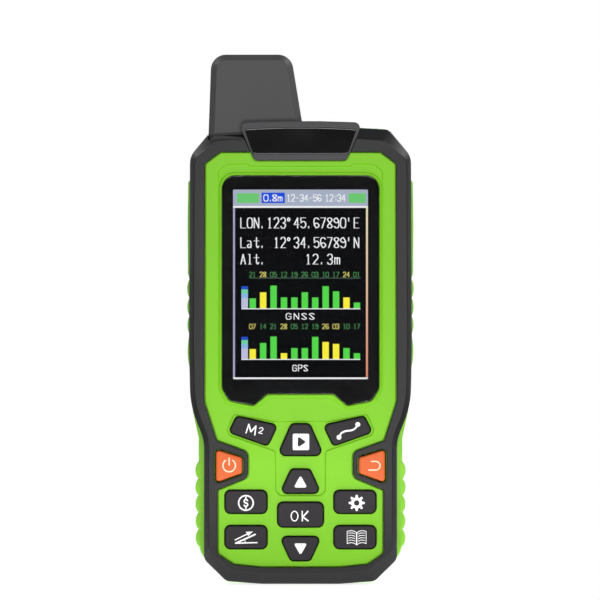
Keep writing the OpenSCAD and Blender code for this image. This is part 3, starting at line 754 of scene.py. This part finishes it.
border_ink = moulded("border_ink", "#0b0a0b", sheen=0.6, grain=1500, depth=0.03, drift=0.02,
                     Specular_IOR_Level=0.1)
opening = outline([[-screen_x, screen_low, 0.3], [screen_x, screen_low, 0.3],
                   [screen_x, screen_high, 0.3], [-screen_x, screen_high, 0.3]], 0, 3, 4)
border_edge = outline(LENS, 0.15, 6, 4)
border_flat, border_tris = plate(border_edge, [opening], grid=8)
border_y = lens_y + lens_t + 0.01, lens_y + lens_t + 0.04
border = shell_object("lens_border", [*[(stand(border_flat, y), border_tris) for y in border_y],
                                      *[strip([stand(loop, y) for y in border_y])
                                        for loop in (opening, border_edge)]])
place(border, "case", "gloss_black", border_ink)

# Letters drawn on a grid four wide and six high; a stroke that starts with a tilde is a smooth curve
GLYPHS = {
    "0": "~20 41 45 26 05 01 20", "1": "15 26 20, 10 30", "2": "~05 16 36 44 22 00, 00 40",
    "3": "~05 16 36 44 23, ~23 42 30 10 01", "4": "30 36 02 42", "5": "46 06 04, ~03 24 43 41 20 01",
    "6": "~45 26 05 02 11 20 41 42 23 02", "7": "06 46 10", "8": "~23 05 26 45 23 01 20 41 23",
    "9": "~01 20 41 44 35 26 05 04 23 44", "A": "00 26 40, 12 32", "E": "46 06 00 40, 03 33",
    "G": "~45 26 05 01 20 41, 41 43 23", "L": "06 00 40", "N": "00 06 40 46", "O": "~20 41 45 26 05 01 20",
    "P": "00 06, ~06 36 45 33 03", "S": "~45 26 05 14 32 41 20 01", "a": "~04 24 33 30, ~32 12 01 10 31",
    "l": "16 26 20, 10 30", "t": "26 21 30 41, 04 44", "m": "00 04, ~03 14 23 20, ~23 34 43 40",
    ".": "10 11", "°": "~05 16 25 14 05", "'": "16 14", "-": "13 33", ":": "21 22, 24 25", " ": "",
}


def written(text, x, z, pitch, width, height, nib, thin=None, tight=1.0):
    """A line of text as pen strokes, its first letter's foot at [x, z] and the others a pitch apart, or
    the tight share of a pitch after a narrow sign."""
    strokes, steps = [], np.cumsum([0] + [tight if letter in ".: " else 1 for letter in text])
    for i, letter in zip(steps, text):
        for stroke in filter(None, GLYPHS[letter].split(", ")):
            grid = [[int(c[0]), int(c[1])] for c in stroke.lstrip("~").split()]
            line = smooth(grid) if stroke[0] == "~" else np.array(grid, float)
            strokes.append(line * [width / 4, height / 6] + [x + i * pitch, z])
    return pen(strokes, nib, thin)


def patch(x0, z0, x1, z1):
    """Upright rectangle from its lowest corner to its highest."""
    return np.array([[x0, z0], [x1, z0], [x1, z1], [x0, z1]], float), np.array([[0, 1, 2, 3]])


WHITE, LILAC, CREAM, SALMON = [srgb(c) for c in ("#f2f2f2", "#a6a4c4", "#e6dfb8", "#e08a6c")]
GREEN, YELLOW, HEADER, BLUE = [srgb(c) for c in ("#55d94a", "#fdf03c", "#a9b1c4", "#1e4fdc")]
DIM_GREEN, DIM_YELLOW, PATCH = [srgb(c) for c in ("#4a8a50", "#d9cf6a", "#6fca72")]
line_w = 0.62
# Pitch, width, height and the nib's width and height of the two large lines of letters
large, medium = (2.08, 1.42, 3.2, 0.34, 0.17), (2.08, 1.42, 3.05, 0.34, 0.17)
# Each item is a drawing, its layer above the panel, and its colour, or one for its foot and one for its top
header_low = screen_high - 5.1
PICTURE = [
    (patch(-screen_x, screen_low, screen_x, screen_high), 0, srgb("#040406")),
    (patch(-screen_x, header_low, screen_x, screen_high), 1, HEADER),
    (patch(-19.8, 118.9, -13, 121.9), 2, PATCH), (patch(15, 118.9, 20.4, 121.9), 2, PATCH),
    (patch(-12.15, 118.85, -4.9, 122.1), 2, BLUE),
    (written("0.8m", -11.4, 119.45, 1.7, 1.25, 2, 0.26, 0.24, 0.6), 3, WHITE),
    (written("12-34-56 12:34", -4.2, 119.4, 1.37, 1.02, 2.05, 0.25, 0.23, 0.75), 3, WHITE),
    (patch(-screen_x, header_low - 0.6, screen_x, header_low), 2, WHITE),
    (patch(-screen_x, screen_low, -screen_x + line_w, header_low), 2, LILAC),
    (patch(screen_x - line_w, screen_low, screen_x, header_low), 2, (SALMON, CREAM)),
    (patch(-screen_x, screen_low, screen_x, screen_low + 0.55), 3, WHITE),
    (written("LON.123°45.67890'E", -18.6, 111.05, *large), 2, WHITE),
    (written("Lat. 12°34.56789'N", -18.6, 104.9, *large), 2, WHITE),
    (written("Alt.", -18.6, 99.8, *medium), 2, WHITE),
    (written("12.3m", 1.7, 99.8, 2.25, 1.5, 3.05, 0.34, 0.17), 2, WHITE),
    (patch(-15.9, 95.35, 18.7, 95.55), 2, srgb("#55695a")),
    (written("GNSS", -4.4, 82.55, 2.4, 1.45, 1.9, 0.26, 0.2), 2, WHITE),
    (written("GPS", -2.35, 66.4, 1.7, 1.15, 1.9, 0.27, 0.2), 2, WHITE),
]
first_bar, bar_pitch, bar_w = -14.9, 3.25, 2.0
scale_x0, scale_x1 = -18.45, -16.4
# Rows of bars, as (foot, top, heights, which are weak, first number)
SIGNALS = [
    (86, 97.35, [3.1, 5, 7.1, 3.4, 3.4, 5, 3.4, 6.9, 5.3, 3.4, 1.8], (1, 9), 21),
    (70.2, 81.15, [3.1, 5, 7, 1.8, 3.4, 3.4, 6.9, 5.3, 4.7, 3.4, 1.8], (0, 3, 7, 8), 37),
]
for base, top, heights, weak, seed in SIGNALS:
    for i, tall in enumerate(heights):
        x = first_bar + i * bar_pitch
        bright, dim = (YELLOW, DIM_YELLOW) if i in weak else (GREEN, DIM_GREEN)
        PICTURE.append((patch(x - bar_w / 2, base, x + bar_w / 2, base + tall), 2, bright))
        number = f"{(seed + 7 * i) % 30:02d}"
        PICTURE.append((written(number, x - 1, top - 1.55, 1.1, 0.8, 1.5, 0.2, 0.16), 2, dim))
    for low, high, c in ((0, 3.2, "#c3c2de"), (3.2, 4.6, "#8fb8e6"), (4.6, 5.9, "#72d3a0"),
                         (5.9, 6.9, "#2450c8")):
        PICTURE.append((patch(scale_x0, base + low, scale_x1, base + high), 2, srgb(c)))
    PICTURE.append((patch(scale_x0, base - 0.28, 18.65, base), 2, WHITE))

picture_points, picture_faces, picture_tint, start = [], [], [], 0
for (flat, faces), level, tint in PICTURE:
    first, last = (tint, tint) if isinstance(tint[0], float) else tint
    share = (flat[:, 1:] - flat[:, 1].min()) / max(np.ptp(flat[:, 1]), 1e-6)
    picture_points.append(stand(flat, picture_y - (level + 1) * layer_step))
    picture_faces += (facing_front(flat, faces) + start).tolist()
    picture_tint.append((1 - share) * np.array(first) + share * np.array(last))
    start += len(flat)
picture_mesh = bpy.data.meshes.new("screen_picture")
picture_mesh.from_pydata((np.concatenate(picture_points) * MM).tolist(), [], picture_faces)
tint_layer = picture_mesh.attributes.new("tint", "FLOAT_COLOR", "POINT")
tint_layer.data.foreach_set("color", np.concatenate(picture_tint).astype(np.float32).ravel())
picture = bpy.data.objects.new("screen_picture", picture_mesh)
scene = bpy.context.scene
scene.collection.objects.link(picture)

# Light-emitting picture: the colour comes from the mesh's own tint, over a black that doesn't shine
lit = bpy.data.materials.new("lit_display")
lit.use_nodes = True
lit_shader = lit.node_tree.nodes["Principled BSDF"]
tint = node(lit.node_tree, "ShaderNodeAttribute", attribute_name="tint").outputs["Color"]
lit.node_tree.links.new(tint, lit_shader.inputs["Emission Color"])
for key, value in {"Base Color": (0.004, 0.004, 0.005, 1), "Emission Strength": 1.0, "Roughness": 0.8,
                   "Specular IOR Level": 0.0}.items():
    lit_shader.inputs[key].default_value = value
place(picture, "case", "lcd_glass", lit)

# ---- Top cap -------------------------------------------------------------------------------------
# A grey plastic bridge clipped over the top of the bumper, with a polished black window that the
# satellite receiver and the status lamp look through.

CAP_GLASS = both([[14.7, 134, 1], [17.5, 141.9, 0.8], [6, 142.4, 20]])
cap_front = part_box("top_cap")[0].y / MM
cap_slope, cap_rim = 0.22, 0.35
window_sink = 0.12


def cap_parts():
    """Side, rounded rim, sloping frame and window pocket: the frame rises from rim to window by the
    share of the way across that each point stands at."""
    rim = [stand(outline(CAP, d, 6, 2), cap_front + cap_slope + h) for d, h in quarter(cap_rim)]
    back = stand(outline(CAP, 0, 6, 2), cap_floor)
    hole = outline(CAP_GLASS, 0, 6, 2)
    flat, tris = plate(rim[0][:, [0, 2]], [hole], [outline(CAP_GLASS, -0.12, 6, 2)], grid=1)
    near, far = distance(flat, hole), -distance(flat, rim[0][:, [0, 2]])
    share = np.clip(near, 0, None) / np.maximum(near + far, 1e-6)
    y = cap_front + cap_slope * share
    sunk = [stand(hole, cap_front), stand(hole, cap_front + 0.8)]
    lip = block_of([[2.8, 142.25, 0.2], [17.2, 142.25, 0.2], [17.2, 144, 0.5], [2.8, 144, 0.5]],
                   [[0, cap_floor - 0.1, 0], [0, -8.4, 0.3], [0.4, -8, 0]], 4, 4)
    return [strip(rim + [back]), lid(back), (stand(flat, y), tris), strip(sunk), lid(sunk[-1]), *lip]


cap_grey = moulded("cap_grey", "#525254", sheen=0.6, grain=2800, depth=0.25, drift=0.05,
                   Specular_IOR_Level=0.25)
top_cap = shell_object("top_cap_frame", cap_parts())
place(top_cap, "case", "cap_plastic", cap_grey, "top_cap")

polished = moulded("polished_black", "#101010", sheen=0.12, grain=800, depth=0.0, drift=0.1, spread=0.03)
window = shell_object("cap_window_insert", block_of(
    CAP_GLASS, [[0.5, cap_front + window_sink, 0], [0.06, cap_front + window_sink + 0.05, 0.15],
                [0.06, cap_front + 0.78, 0]], 6, 3))
place(window, "case", "gloss_black", polished, "cap_window")

# ---- Antenna cover -------------------------------------------------------------------------------
# A stub housing in dark grey plastic for the helix antenna. Its edges slope away on the front, top
# and sides, and its neck plugs into the case on a seal.

antenna_wall = 1.6
antenna_grey = moulded("antenna_grey", "#565656", sheen=0.6, grain=2600, depth=0.3, drift=0.04,
                       Specular_IOR_Level=0.2)
antenna = shell_object("antenna_cover_shell", block_of(
    ANTENNA, [[2.6, -14.8, 0], [1.8, -14.8, 0.4], [0, -11, 0.8], [0, 6.6, 2], [1, 8.6, 2],
              [2.8, 9.7, 1.5], [3.6, 9.7, 0]], 8, 4, 5))
cut(antenna, [layer_of(NECK, 134.8, 142), layer_of(NECK, 134.8, 136.2, -1.2)], how="UNION")
cut(antenna, [layer_of(NECK, 134, 159.8, antenna_wall)])
place(antenna, "case", "antenna_plastic", antenna_grey, "antenna_cover")

# ---- Rear shell ----------------------------------------------------------------------------------
# The back half of the case, moulded in the same green plastic with a full round edge. It holds the
# battery bay, the recess for its cover, six screw wells, the port recess and the lanyard lug.

REAR = both([
    [12, 0, 8], [23.3, 0.9, 3], [30, 7.6, 3], [30, 44.8, 14], [33.5, 53.6, 30],
    [33.7, 75, 60], [33.7, 133.9, 6], [27.8, 142, 3], [19, 142.5, 3],
])
COVER = both([[20.5, 16, 4], [20.5, 102, 4]])
BAY = both([[19.3, 38, 2], [19.3, 98.5, 2]])
LABEL = both([[17, 110, 2], [17, 128, 2]])
CASE_SCREWS = [[s * x, z] for x, z in ([21, 6.2], [28.2, 56], [28, 130.5]) for s in (-1, 1)]
PORT_SCREWS = [[9.5, 122.5], [21, 122.5]]
rear_wall, side_end, back_y, seat_back, bay_floor = 2.6, 9.0, 15.6, 13.6, 2.0
ring_z, ring_y, lug_y, lug_z = 26.5, 16.2, 12.6, 9.0
label_d, way_out = 0.25, 20
post_r, well_r, hole_r, port_post_r, port_hole_r = 3.6, 2.8, 1.55, 2.2, 0.85


def rear_parts():
    """Closed body: straight sides, then a quarter of an ellipse, eight deep across, to the flat back."""
    t = np.linspace(0, np.pi / 2, 14)[1:]
    profile = [[0, split_y + 0.2], [0, side_end - 0.4]]
    profile += [[8 * (1 - math.cos(a)), side_end + (back_y - side_end) * math.sin(a)] for a in t]
    return solid([stand(outline(REAR, d, 6, 3), y) for d, y in profile])


def rod(r, half, y, z, count=24):
    """Round bar along x through [y, z], as long each way as half, closed at both ends."""
    c, s = circle(count)
    return solid([np.column_stack([np.full(count, x), y + r * c, z + r * s]) for x in (-half, half)])


rear = shell_object("rear_shell_skin", rear_parts())
# The hollow
cut(rear, [slab(REAR, -6, side_end - 0.5, rear_wall), slab(REAR, side_end - 1, 11.3, rear_wall + 3)])
# Walls of the battery bay, the ring screw's boss, the lug's block and the screw posts
cut(rear, [slab(BAY, bay_floor - 2, seat_back, -1.8), bar(0, ring_z, 5.4, 4.4, seat_back),
           box_of([-14, 14], [7.8, 12], [1.5, 14.4], 1),
           *[bar(x, z, post_r, split_y + 0.2, 11.5) for x, z in CASE_SCREWS],
           *[bar(x, z, port_post_r, 1.8, 12) for x, z in PORT_SCREWS]], how="UNION")
# The bay, the recesses for cover, label, antenna and flap, the screw holes, the contacts and the lug
cut(rear, [
    slab(BAY, bay_floor, way_out),
    block_of(COVER, [[-0.3, seat_back, 0], [-0.3, back_y - 0.3, 0], [-0.8, back_y + 0.4, 0],
                     [-0.8, way_out, 0]], 8, 50),
    slab(LABEL, back_y - label_d, way_out), *antenna_room(),
    *[bar(x, z, hole_r, -6, bay_floor + 1) for x, z in CASE_SCREWS],
    *[bar(x, z, well_r, bay_floor, way_out) for x, z in CASE_SCREWS],
    bar(0, ring_z, 4.3, 12.4, way_out), bar(0, ring_z, 3.4, 5.4, 13),
    *[bar(x, z, port_hole_r, 1, 7) for x, z in PORT_SCREWS],
    *[bar(x, 39.6, 0.7, -1, 3) for x in (-4, 0, 4)],
    layer_of([[9, -1, 0.8], [25, -1, 0.8], [25, 8.5, 0.8], [9, 8.5, 0.8]], 141, 150),
    layer_of([[12.3, 1.3, 1.2], [21.6, 1.3, 1.2], [21.6, 5.2, 1.2], [12.3, 5.2, 1.2]], 138, 150),
    *[box_of(x, [10, way_out], [6, 12], 1) for x in ([-12, -3], [3, 12])],
    rod(1.7, 4, lug_y, lug_z, 32),
])
place(rear, "case", "green_shell", green_plastic, "rear_shell")

label_foil = moulded("label_foil", "#c9ccd0", sheen=0.35, grain=500, depth=0.1, drift=0.03, Metallic=0.6)
label = shell_object("back_label", slab(LABEL, back_y - 0.02, back_y - label_d + 0.01, 0.15))
place(label, "case", "cap_plastic", label_foil)

# ---- Grips ---------------------------------------------------------------------------------------
# Soft green elastomer pads over-moulded on both sides of the rear shell. Their edge is scalloped, with
# narrow notches between broad round ribs, so that a wet hand can hold on.

rib_h = 1.05
# The edge without its ribs, as [height, half width]
GRIP_LINE = np.array([[7.4, 29.9], [9.4, 31.2], [11.4, 31.8], [40, 31.9], [45.4, 31.9], [47.6, 32.4],
                      [54, 33.8], [60, 34.4], [66, 34.6], [95.2, 34.8], [97, 35.3], [112, 35.4],
                      [125.6, 35.2], [127, 33.9]])
# Runs of ribs, as (lowest height, pitch, count, height)
RIB_RUNS = [(11.4, 5.3, 5, rib_h), (67.3, 10.4, 1, 0.7 * rib_h), (77.9, 5.7, 3, 0.7 * rib_h)]


def grip_parts(side):
    """Sections stacked up the side: the half width is the plain edge plus, within a run, the rib height
    times a half wave raised to 0.6, and each section rounds off towards the front and back."""
    z = np.arange(7.5, 127, 0.4)
    for low, pitch, count, _ in RIB_RUNS:
        notches = low + pitch * np.arange(count + 1)
        z = np.union1d(z, np.concatenate([notches + d for d in (-0.12, 0, 0.12)]))
    wide = np.interp(z, *GRIP_LINE.T)
    for low, pitch, count, tall in RIB_RUNS:
        phase = (z - low) / pitch
        wide += np.where((phase >= 0) & (phase <= count), tall * np.abs(np.sin(np.pi * phase)) ** 0.6, 0)
    right = outline(REAR, 0, 6, 3)
    right = right[right[:, 0] > 20]
    right = right[np.argsort(right[:, 1])]
    root = np.interp(z, right[:, 1], right[:, 0]) - 0.05
    wide = np.maximum(wide, root + 0.05)
    # The section from root to root, as shares of the pad's thickness and depths
    share = np.array([0, 0.45, 0.7, 0.88, 0.97, 1, 1, 1, 1, 0.97, 0.9, 0.76, 0.5, 0])
    depth = np.array([-4.9, -4.9, -4.8, -4.5, -4, -3.3, 0, 3, 5, 6.2, 7.1, 7.9, 8.6, 8.8])
    x = root[:, None] + (wide - root)[:, None] * share
    return solid([np.column_stack([side * across, depth, np.full(len(depth), high)])
                  for across, high in zip(x, z)])


grip_rubber = moulded("grip_rubber", "#9cee3c", sheen=0.55, grain=2000, depth=0.4, drift=0.03)
for side_name, side in (("left", -1), ("right", 1)):
    grip = shell_object(f"{side_name}_grip_pad", grip_parts(side), 40)
    place(grip, "case", "green_grip", grip_rubber, f"grip_{side_name}")

# ---- Battery cover -------------------------------------------------------------------------------
# A dark glass-filled plastic lid with thumb grooves. One screw with a fold-down ring holds it on a
# silicone seal, and a foam pad inside steadies the battery.

RIM = both([[19, 38.3, 2], [19, 98.2, 2]])
cover_y, cover_t, dish_r = seat_back + 0.3, 3.1, 8.6
cover_top = cover_y + cover_t
cover_black = moulded("cover_black", "#343436", sheen=0.5, grain=2200, depth=0.45, drift=0.06)
cover = shell_object("battery_cover_lid", block_of(
    COVER, [[0, cover_y, 0], [0, cover_y + 2.1, 0.4], [1.1, cover_top, 0.8], [2.2, cover_top, 0]], 8, 4))
cut(cover, [slab(RIM, cover_y - 1.7, cover_y + 0.2)], how="UNION")
# Eight thumb grooves, five apart: the half width is 14 less 0.35 for each step from the middle of the row
grooves = [block_of(both([[14 - 0.35 * abs(k - 3.5), z, 0.55], [14 - 0.35 * abs(k - 3.5), z + 1.3, 0.55]]),
                    [[0.45, cover_top - 0.55, 0], [0, cover_top, 0], [0, way_out, 0]], 5, 50)
           for k, z in enumerate(np.arange(56, 96, 5.0))]
cut(cover, [slab(RIM, 8, cover_y, 1.2), bar(0, ring_z, dish_r, cover_y + 1.2, way_out, 64),
            bar(0, ring_z, 2.27, 10, way_out), *grooves])
place(cover, "battery_door", "cover_plastic", cover_black, "battery_cover")

# ---- Ring screw ----------------------------------------------------------------------------------
# A stainless captive screw with a knurled head, and a wire ring that folds flat into the cover's dish
# and stands up to be turned by hand.

# Turned metal: noise stretched along two axes into fine lines, and slow blotches of tone
brushed, brushed_in, brushed_out = new_group(
    "turned_metal", {"Colour": ("NodeSocketColor", (0.6, 0.6, 0.6, 1)), "Sheen": ("NodeSocketFloat", 0.3)},
    {"Colour": "NodeSocketColor", "Roughness": "NodeSocketFloat", "Normal": "NodeSocketVector"})
metal_where = node(brushed, "ShaderNodeTexCoord").outputs["Object"]
stretch = node(brushed, "ShaderNodeMapping", {"Vector": metal_where, "Scale": (300, 6000, 300)})
lines = node(brushed, "ShaderNodeTexNoise", {"Vector": stretch.outputs[0], "Scale": 1.0, "Detail": 3.0})
blot = node(brushed, "ShaderNodeTexNoise", {"Vector": metal_where, "Scale": 160.0, "Detail": 2.0})
darker = node(brushed, "ShaderNodeMapRange", {"Value": blot.outputs["Fac"], "To Min": 0.82, "To Max": 1.12})
metal_shade = node(brushed, "ShaderNodeVectorMath", {0: brushed_in.outputs["Colour"],
                                                     "Scale": darker.outputs["Result"]}, operation="SCALE")
metal_rub = node(brushed, "ShaderNodeMath", {0: lines.outputs["Fac"], 1: 0.25,
                                             2: brushed_in.outputs["Sheen"]}, operation="MULTIPLY_ADD")
metal_relief = node(brushed, "ShaderNodeBump", {"Strength": 0.15, "Distance": 0.00002,
                                                "Height": lines.outputs["Fac"]})
brushed.links.new(metal_shade.outputs[0], brushed_out.inputs["Colour"])
brushed.links.new(metal_rub.outputs[0], brushed_out.inputs["Roughness"])
brushed.links.new(metal_relief.outputs[0], brushed_out.inputs["Normal"])


def metal(name, colour, sheen=0.2):
    """Turned or drawn metal with the turned skin."""
    return coated(name, brushed, {"Colour": srgb(colour), "Sheen": sheen}, Metallic=1.0)


def lathe(x, z, profile, knurl, count=96):
    """Profile of [radius, y] carried round an axis along y. On the screw's widest stretch a knurl takes
    its own depth off every other point."""
    widest = max(r for r, _ in profile)
    c, s = circle(count)
    rings = []
    for r, y in profile:
        wave = r - knurl * (r == widest) * (np.arange(count) % 2)
        rings.append(np.column_stack([x + wave * c, np.full(count, y), z + wave * s]))
    return solid(rings)


steel = metal("satin_steel", "#b4b6ba")
head_back = cover_y + 1.3
screw = shell_object("ring_screw_turned", lathe(0, ring_z, [
    [1.95, 6.4], [1.95, 13.5], [2.2, 13.5], [2.2, head_back], [3.3, head_back], [3.6, head_back + 0.3],
    [3.6, 17.4], [3.25, 17.75], [2.4, 17.8]], knurl=0.12), 25)
cut(screw, [rod(0.87, 5, ring_y, ring_z)], 25)
place(screw, "ring_screw", "steel", steel, "cover_screw")

wire_r, ring_r = 0.8, 6.9


def ring_parts():
    """Lower half of a torus: a circle of the wire carried round half a circle of the ring."""
    c, s = circle(20)
    far = ring_r + wire_r * c
    return solid([np.column_stack([far * math.cos(a), ring_y + wire_r * s, ring_z + far * math.sin(a)])
                  for a in np.linspace(np.pi, 2 * np.pi, 41)])


pull = shell_object("pull_ring_wire", ring_parts(), 40)
cut(pull, [rod(wire_r, ring_r, ring_y, ring_z)], 40, how="UNION")
place(pull, "ring", "steel", steel, "pull_ring")

# ---- Port flap -----------------------------------------------------------------------------------
# A hinged flap of black elastomer on the top face, with a plug that seals the charging port and three
# ridges for a fingertip.

FLAP = [[9.3, -0.7, 1], [24.7, -0.7, 1], [24.7, 8.2, 1], [9.3, 8.2, 1]]
PLUG = [[13.2, 2.4, 0.9], [20.7, 2.4, 0.9], [20.7, 4.4, 0.9], [13.2, 4.4, 0.9]]


def tiers(corners, profile):
    """Closed solid: an outline seen from above carried up a profile of insets and heights."""
    loops = [(outline(corners, d, 6, 3), z) for d, z in rounded(profile)]
    return solid([np.column_stack([loop, np.full(len(loop), z)]) for loop, z in loops])


flap_rubber = moulded("flap_rubber", "#29292b", sheen=0.55, grain=2200, depth=0.35, drift=0.05)
ridges = [tiers([[12, y, 0.25], [22, y, 0.25], [22, y + 0.6, 0.25], [12, y + 0.6, 0.25]],
                [[0, 142.3, 0], [0, 142.42, 0], [0.12, 142.5, 0]]) for y in (0.4, 1.6, 2.8)]
flap = shell_object("port_flap_lid", tiers(
    FLAP, [[0.3, 141.1, 0], [0, 141.1, 0.15], [0, 142.25, 0.2], [0.35, 142.4, 0], [1, 142.4, 0]]))
cut(flap, [tiers(PLUG, [[0.3, 139.95, 0], [0, 140.3, 0.2], [0, 141.2, 0]]), *ridges], how="UNION")
place(flap, "flap", "bumper_rubber", flap_rubber, "usb_flap")

# ---- Working parts -------------------------------------------------------------------------------
# Boards, modules, seals, screws and the battery stay as the design gives them, each with a finish of
# its own: green lacquered laminate, tinned sheet, silicone, foam, film and brass.

FINISHES = {
    "seal_rubber": moulded("seal_rubber", "#1b1b1b", sheen=0.6, grain=1800, depth=0.3),
    "seal_orange": moulded("seal_silicone", "#c4522e", sheen=0.5, grain=1800, depth=0.2),
    "steel": steel,
    "sheet_metal": metal("tinned_sheet", "#c4c8cc", 0.25),
    "brass": metal("turned_brass", "#c9a050"),
    "element_former": moulded("ceramic_former", "#d8cfae", sheen=0.5, grain=1500, depth=0.3),
    "cable_jacket": moulded("cable_jacket", "#2c2c2c", sheen=0.45, grain=2500, depth=0.2),
    "lcd_glass": moulded("display_cell", "#0a0a0d", sheen=0.15, grain=900, depth=0.02),
    "flex_film": moulded("flex_film", "#b8772a", sheen=0.3, grain=700, depth=0.15, drift=0.1),
    "silicone": moulded("key_silicone", "#d4d4d2", sheen=0.5, grain=1500, depth=0.2),
    "dome_metal": moulded("dome_film", "#d8bb62", sheen=0.3, grain=900, depth=0.15, Metallic=0.4),
    "circuit_board": moulded("laminate", "#1d6a3a", sheen=0.35, grain=900, depth=0.3, drift=0.12),
    "foam": moulded("pad_foam", "#4a4a4a", sheen=0.9, grain=900, depth=0.9, drift=0.12),
    "pack_wrap": moulded("pack_wrap", "#2f62b8", sheen=0.25, grain=300, depth=0.25, drift=0.06),
    "bumper_rubber": flap_rubber,
    "cap_plastic": moulded("buzzer_plastic", "#1d1d1e", sheen=0.4, grain=1800, depth=0.2),
}
for name, part in nodes.items():
    if not part.hide_render:
        slot_name = part.data.materials[0].name.split(".")[0] if part.data.materials else ""
        finish = FINISHES.get(slot_name, FINISHES["seal_rubber"])
        part.data.materials.clear()
        part.data.materials.append(finish)

# ---- Camera, light and floor ---------------------------------------------------------------------
# The camera looks straight at the front through a long lens. Wide soft boxes light the front from below
# and above, narrow ones the sides, small ones the rims from above and behind, and two tall ones the
# back. The white surround shows behind the unit but lights it only faintly.

scene.view_settings.view_transform = "Standard"
eye = bpy.data.cameras.new("eye")
eye.lens, eye.sensor_width = 398, 36
camera = bpy.data.objects.new("camera", eye)
camera.location = (-0.00015, -2.083, 0.0886)
camera.rotation_euler = (math.pi / 2, 0, 0)
eye.clip_end = 10
scene.collection.objects.link(camera)
scene.camera = camera

middle = (0, 0, 0.085)
# Each soft box is a rectangular light turned towards the middle of the unit: place, size and watts
for name, spot, size, watts in (
        ("low_front", (0.1, -1.3, -0.3), (1, 0.45), 8.2),
        ("high_front", (0.1, -1.35, 0.55), (1, 0.45), 8.4),
        ("left_box", (-1.1, 0, 0.1), (0.3, 0.8), 0.8),
        ("right_box", (1.1, 0, 0.1), (0.3, 0.8), 1.3),
        ("left_rim", (-0.75, 0.5, 0.85), (0.3, 0.3), 3.6),
        ("right_rim", (0.75, 0.5, 0.85), (0.3, 0.3), 4.6),
        ("back_left", (-0.5, 1.2, 0.4), (0.5, 0.9), 3.2),
        ("back_right", (0.5, 1.2, 0.4), (0.5, 0.9), 3.2)):
    light = bpy.data.lights.new(name, "AREA")
    light.shape, light.size, light.size_y, light.energy = "RECTANGLE", *size, watts
    lamp = bpy.data.objects.new(name, light)
    lamp.location = spot
    toward = np.array(middle) - spot
    lamp.rotation_euler = (math.atan2(math.hypot(*toward[:2]), -toward[2]), 0,
                           math.atan2(toward[1], toward[0]) - math.pi / 2)
    scene.collection.objects.link(lamp)

world = bpy.data.worlds.new("studio")
world.use_nodes = True
scene.world = world
sky = world.node_tree
ray = node(sky, "ShaderNodeLightPath")
fill = sky.nodes["Background"]
fill.inputs["Color"].default_value = (1, 1, 1, 1)
fill.inputs["Strength"].default_value = 0.06
backdrop = node(sky, "ShaderNodeBackground", {"Color": (1, 1, 1, 1), "Strength": 1.0})
choose = node(sky, "ShaderNodeMixShader", {0: ray.outputs["Is Camera Ray"], 1: fill.outputs[0],
                                           2: backdrop.outputs[0]})
sky.links.new(choose.outputs[0], sky.nodes["World Output"].inputs["Surface"])

disc = arc(0, 0, 95, 0, 355, 72)
floor = shell_object("floor", [lid(np.column_stack([disc, np.full(len(disc), -0.05)]))])
floor.modifiers.clear()
pale = bpy.data.materials.new("pale_floor")
pale.use_nodes = True
paint = pale.node_tree.nodes["Principled BSDF"]
for key, value in {"Base Color": (0.85, 0.85, 0.85, 1), "Roughness": 0.9, "Emission Color": (1, 1, 1, 1),
                   "Emission Strength": 0.75}.items():
    paint.inputs[key].default_value = value
floor.data.materials.append(pale)
floor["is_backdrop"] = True

seen_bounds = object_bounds()
[[list(corner) for corner in bounds] for bounds in (cad_bounds, seen_bounds)]
